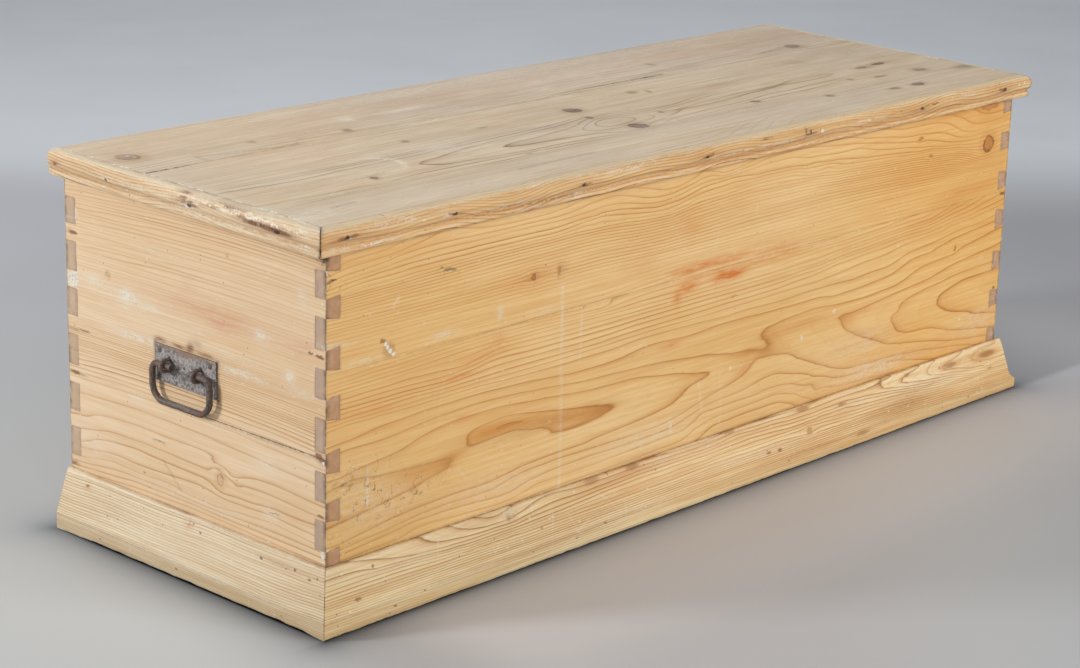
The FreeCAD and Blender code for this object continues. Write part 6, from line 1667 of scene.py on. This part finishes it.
# ---------------------------------------------------------------- camera
az, el, roll = math.radians(-47.26), math.radians(16.57), math.radians(1.50)
back = Vector((math.sin(az) * math.cos(el), -math.cos(az) * math.cos(el), math.sin(el)))
right = (-back).cross(Vector((0, 0, 1))).normalized()
up = right.cross(-back)
r2 = math.cos(roll) * right + math.sin(roll) * up
u2 = -math.sin(roll) * right + math.cos(roll) * up
cam_data = bpy.data.cameras.new("camera")
cam_data.sensor_fit = "HORIZONTAL"
cam_data.sensor_width = 36.0
cam_data.lens = 2615.0 / 1080.0 * 36.0
cam_data.clip_end = 100.0
cam = bpy.data.objects.new("camera", cam_data)
bpy.context.scene.collection.objects.link(cam)
m = Matrix.Identity(4)
for i, v in enumerate((r2, u2, back)):
    for k in range(3):
        m[k][i] = v[k]
m.translation = Vector((-2.62773, -2.35064, 1.22026))
cam.matrix_world = m
bpy.context.scene.camera = cam

# ---------------------------------------------------------------- floor and light
# floor colours painted with light and shade: darker near the chest's front and on the right, lighter further off
FLOOR_NEAR, FLOOR_SIDES, FLOOR_MID, FLOOR_FAR, FLOOR_RIGHT = (185, 184, 185), (196, 198, 198), (202, 202, 207), (235, 239, 244), (174, 174, 178)
bm = bmesh.new()
bmesh.ops.create_grid(bm, x_segments=1, y_segments=1, size=14.0)
fm = bpy.data.meshes.new("studio_floor")
bm.to_mesh(fm)
bm.free()
floor = bpy.data.objects.new("studio_floor", fm)
bpy.context.scene.collection.objects.link(floor)
F = Mat("studio_floor")
# a paper sweep, its colour painted with light and shade: cooler and lighter further off, darker in front of the chest
# and towards the right
away = F.vec("DOT_PRODUCT", F.P, (0.704, 0.650, 0.0))
side = F.vec("DOT_PRODUCT", F.P, (0.650, -0.704, 0.0))
near = F.mix(F.rng(F.math("ABSOLUTE", F.math("ADD", side, -0.1)), 0.15, 0.6), srgb(*FLOOR_NEAR), srgb(*FLOOR_SIDES))
near = F.mix(F.rng(side, 0.30, 0.75), near, srgb(179, 181, 184))
fcol = F.mix(F.rng(away, -0.4, 1.1), near, srgb(*FLOOR_MID))
fcol = F.mix(F.rng(away, 1.3, 2.1), fcol, srgb(*FLOOR_FAR))
fcol = F.mix(F.math("MULTIPLY", F.rng(side, 0.2, 0.9), F.rng(away, 0.2, 0.9)), fcol, srgb(*FLOOR_RIGHT))
fcol = F.mix(F.rng(away, 1.3, 2.1), fcol, srgb(*FLOOR_FAR))
fcol = F.mix(F.math("MULTIPLY", F.rng(F.noise(F.P, 3.0, 3.0, 0.5), 0.35, 0.7), 0.06), fcol, srgb(176, 176, 176))
# painted contact shadow on the paper round the chest's footprint, deeper along the front
fx, fy, fz = F.sep(F.P)
qx = F.math("MAXIMUM", F.math("SUBTRACT", F.math("ABSOLUTE", fx), 0.7229), 0.0)
qy = F.math("MAXIMUM", F.math("SUBTRACT", F.math("ABSOLUTE", F.math("ADD", fy, 0.0048)), 0.2557), 0.0)
fd = F.vec("LENGTH", F.com(qx, qy))
front_painted_light = F.math("MULTIPLY", F.rng(fx, -0.72, -0.55), F.rng(fy, -0.255, -0.275))
k = F.math("EXPONENT", F.math("DIVIDE", fd, -0.026))
k = F.math("SUBTRACT", 0.99, F.math("MULTIPLY", k, 0.38))
k = F.math("SUBTRACT", k, F.math("MULTIPLY", F.math("MULTIPLY", F.math("EXPONENT", F.math("DIVIDE", fd, -0.016)), F.rng(fx, 0.45, -0.35)), F.math("MULTIPLY", F.rng(fy, -0.255, -0.262), 0.13)))
# painted light: the floor in front of the chest is lifted where the key lamp's shadow lies
k = F.math("ADD", k, F.math("MULTIPLY", F.math("MULTIPLY", front_painted_light, F.rng(fd, 0.34, 0.12)), 0.15))
# painted shadow under the chest: near black inside its footprint
din = F.math("MINIMUM", F.math("SUBTRACT", 0.7229, F.math("ABSOLUTE", fx)), F.math("SUBTRACT", 0.2557, F.math("ABSOLUTE", F.math("ADD", fy, 0.0048))))
k = F.math("MULTIPLY", k, F.rng(din, 0.0, 0.004, 1.0, 0.22))
# painted shadow tint: bluish close to the chest
fcol = F.mix(F.math("EXPONENT", F.math("DIVIDE", fd, -0.035)), fcol, (0.94, 0.99, 1.06, 1.0), mode="MULTIPLY")
fcol = F.vec("SCALE", fcol, scale=F.math("POWER", k, 2.2))
floor.data.materials.append(F.done(fcol, 0.7, spec=0.2))


def area(name, loc, aim, size, power, color=(1, 1, 1)):
    d = bpy.data.lights.new(name, "AREA")
    d.shape = "RECTANGLE"
    d.size, d.size_y = size
    d.energy = power
    d.color = color
    o = bpy.data.objects.new(name, d)
    bpy.context.scene.collection.objects.link(o)
    o.location = loc
    o.rotation_euler = (Vector(aim) - Vector(loc)).to_track_quat("-Z", "Y").to_euler()
    return o


area("key_soft", (-4.0, 2.2, 1.7), (0.0, 0.0, 0.25), (0.8, 0.8), 108.0, (1.0, 0.995, 0.985))
area("front_soft", (1.2, -4.4, 1.9), (0.0, 0.0, 0.25), (2.2, 1.6), 128.0, (1.0, 0.995, 0.98))
area("side_soft", (-3.2, -3.0, 2.6), (0.0, 0.0, 0.25), (2.4, 1.8), 38.0, (1.0, 0.995, 0.985))
area("high_soft", (-0.6, 1.3, 3.6), (0.0, 0.0, 0.25), (1.4, 1.2), 40.0, (0.98, 0.99, 1.0))
area("backdrop_soft", (3.1, 2.9, 3.0), (3.1, 2.9, 0.0), (2.6, 2.6), 18.0, (0.97, 0.985, 1.0))
world = bpy.data.worlds.new("studio")
bpy.context.scene.world = world
world.use_nodes = True
world.node_tree.nodes["Background"].inputs[0].default_value = (0.93, 0.96, 1.0, 1.0)
world.node_tree.nodes["Background"].inputs[1].default_value = 0.20
bpy.context.scene.view_settings.view_transform = "Standard"
bpy.context.scene.view_settings.look = "None"

# hand-work on the faces never reaches past the outer box
lo_box, hi_box = np.array(CAD_BOX[0], float), np.array(CAD_BOX[1], float)
kept = set(o.name for o in frame["nodes"].values())
for o in list(bpy.context.scene.objects):
    if o.type == "MESH" and o is not floor and o.name not in kept:
        R = coords(o)
        if (R < lo_box).any() or (R > hi_box).any():
            put(o, np.clip(R, lo_box, hi_box), scale=False)
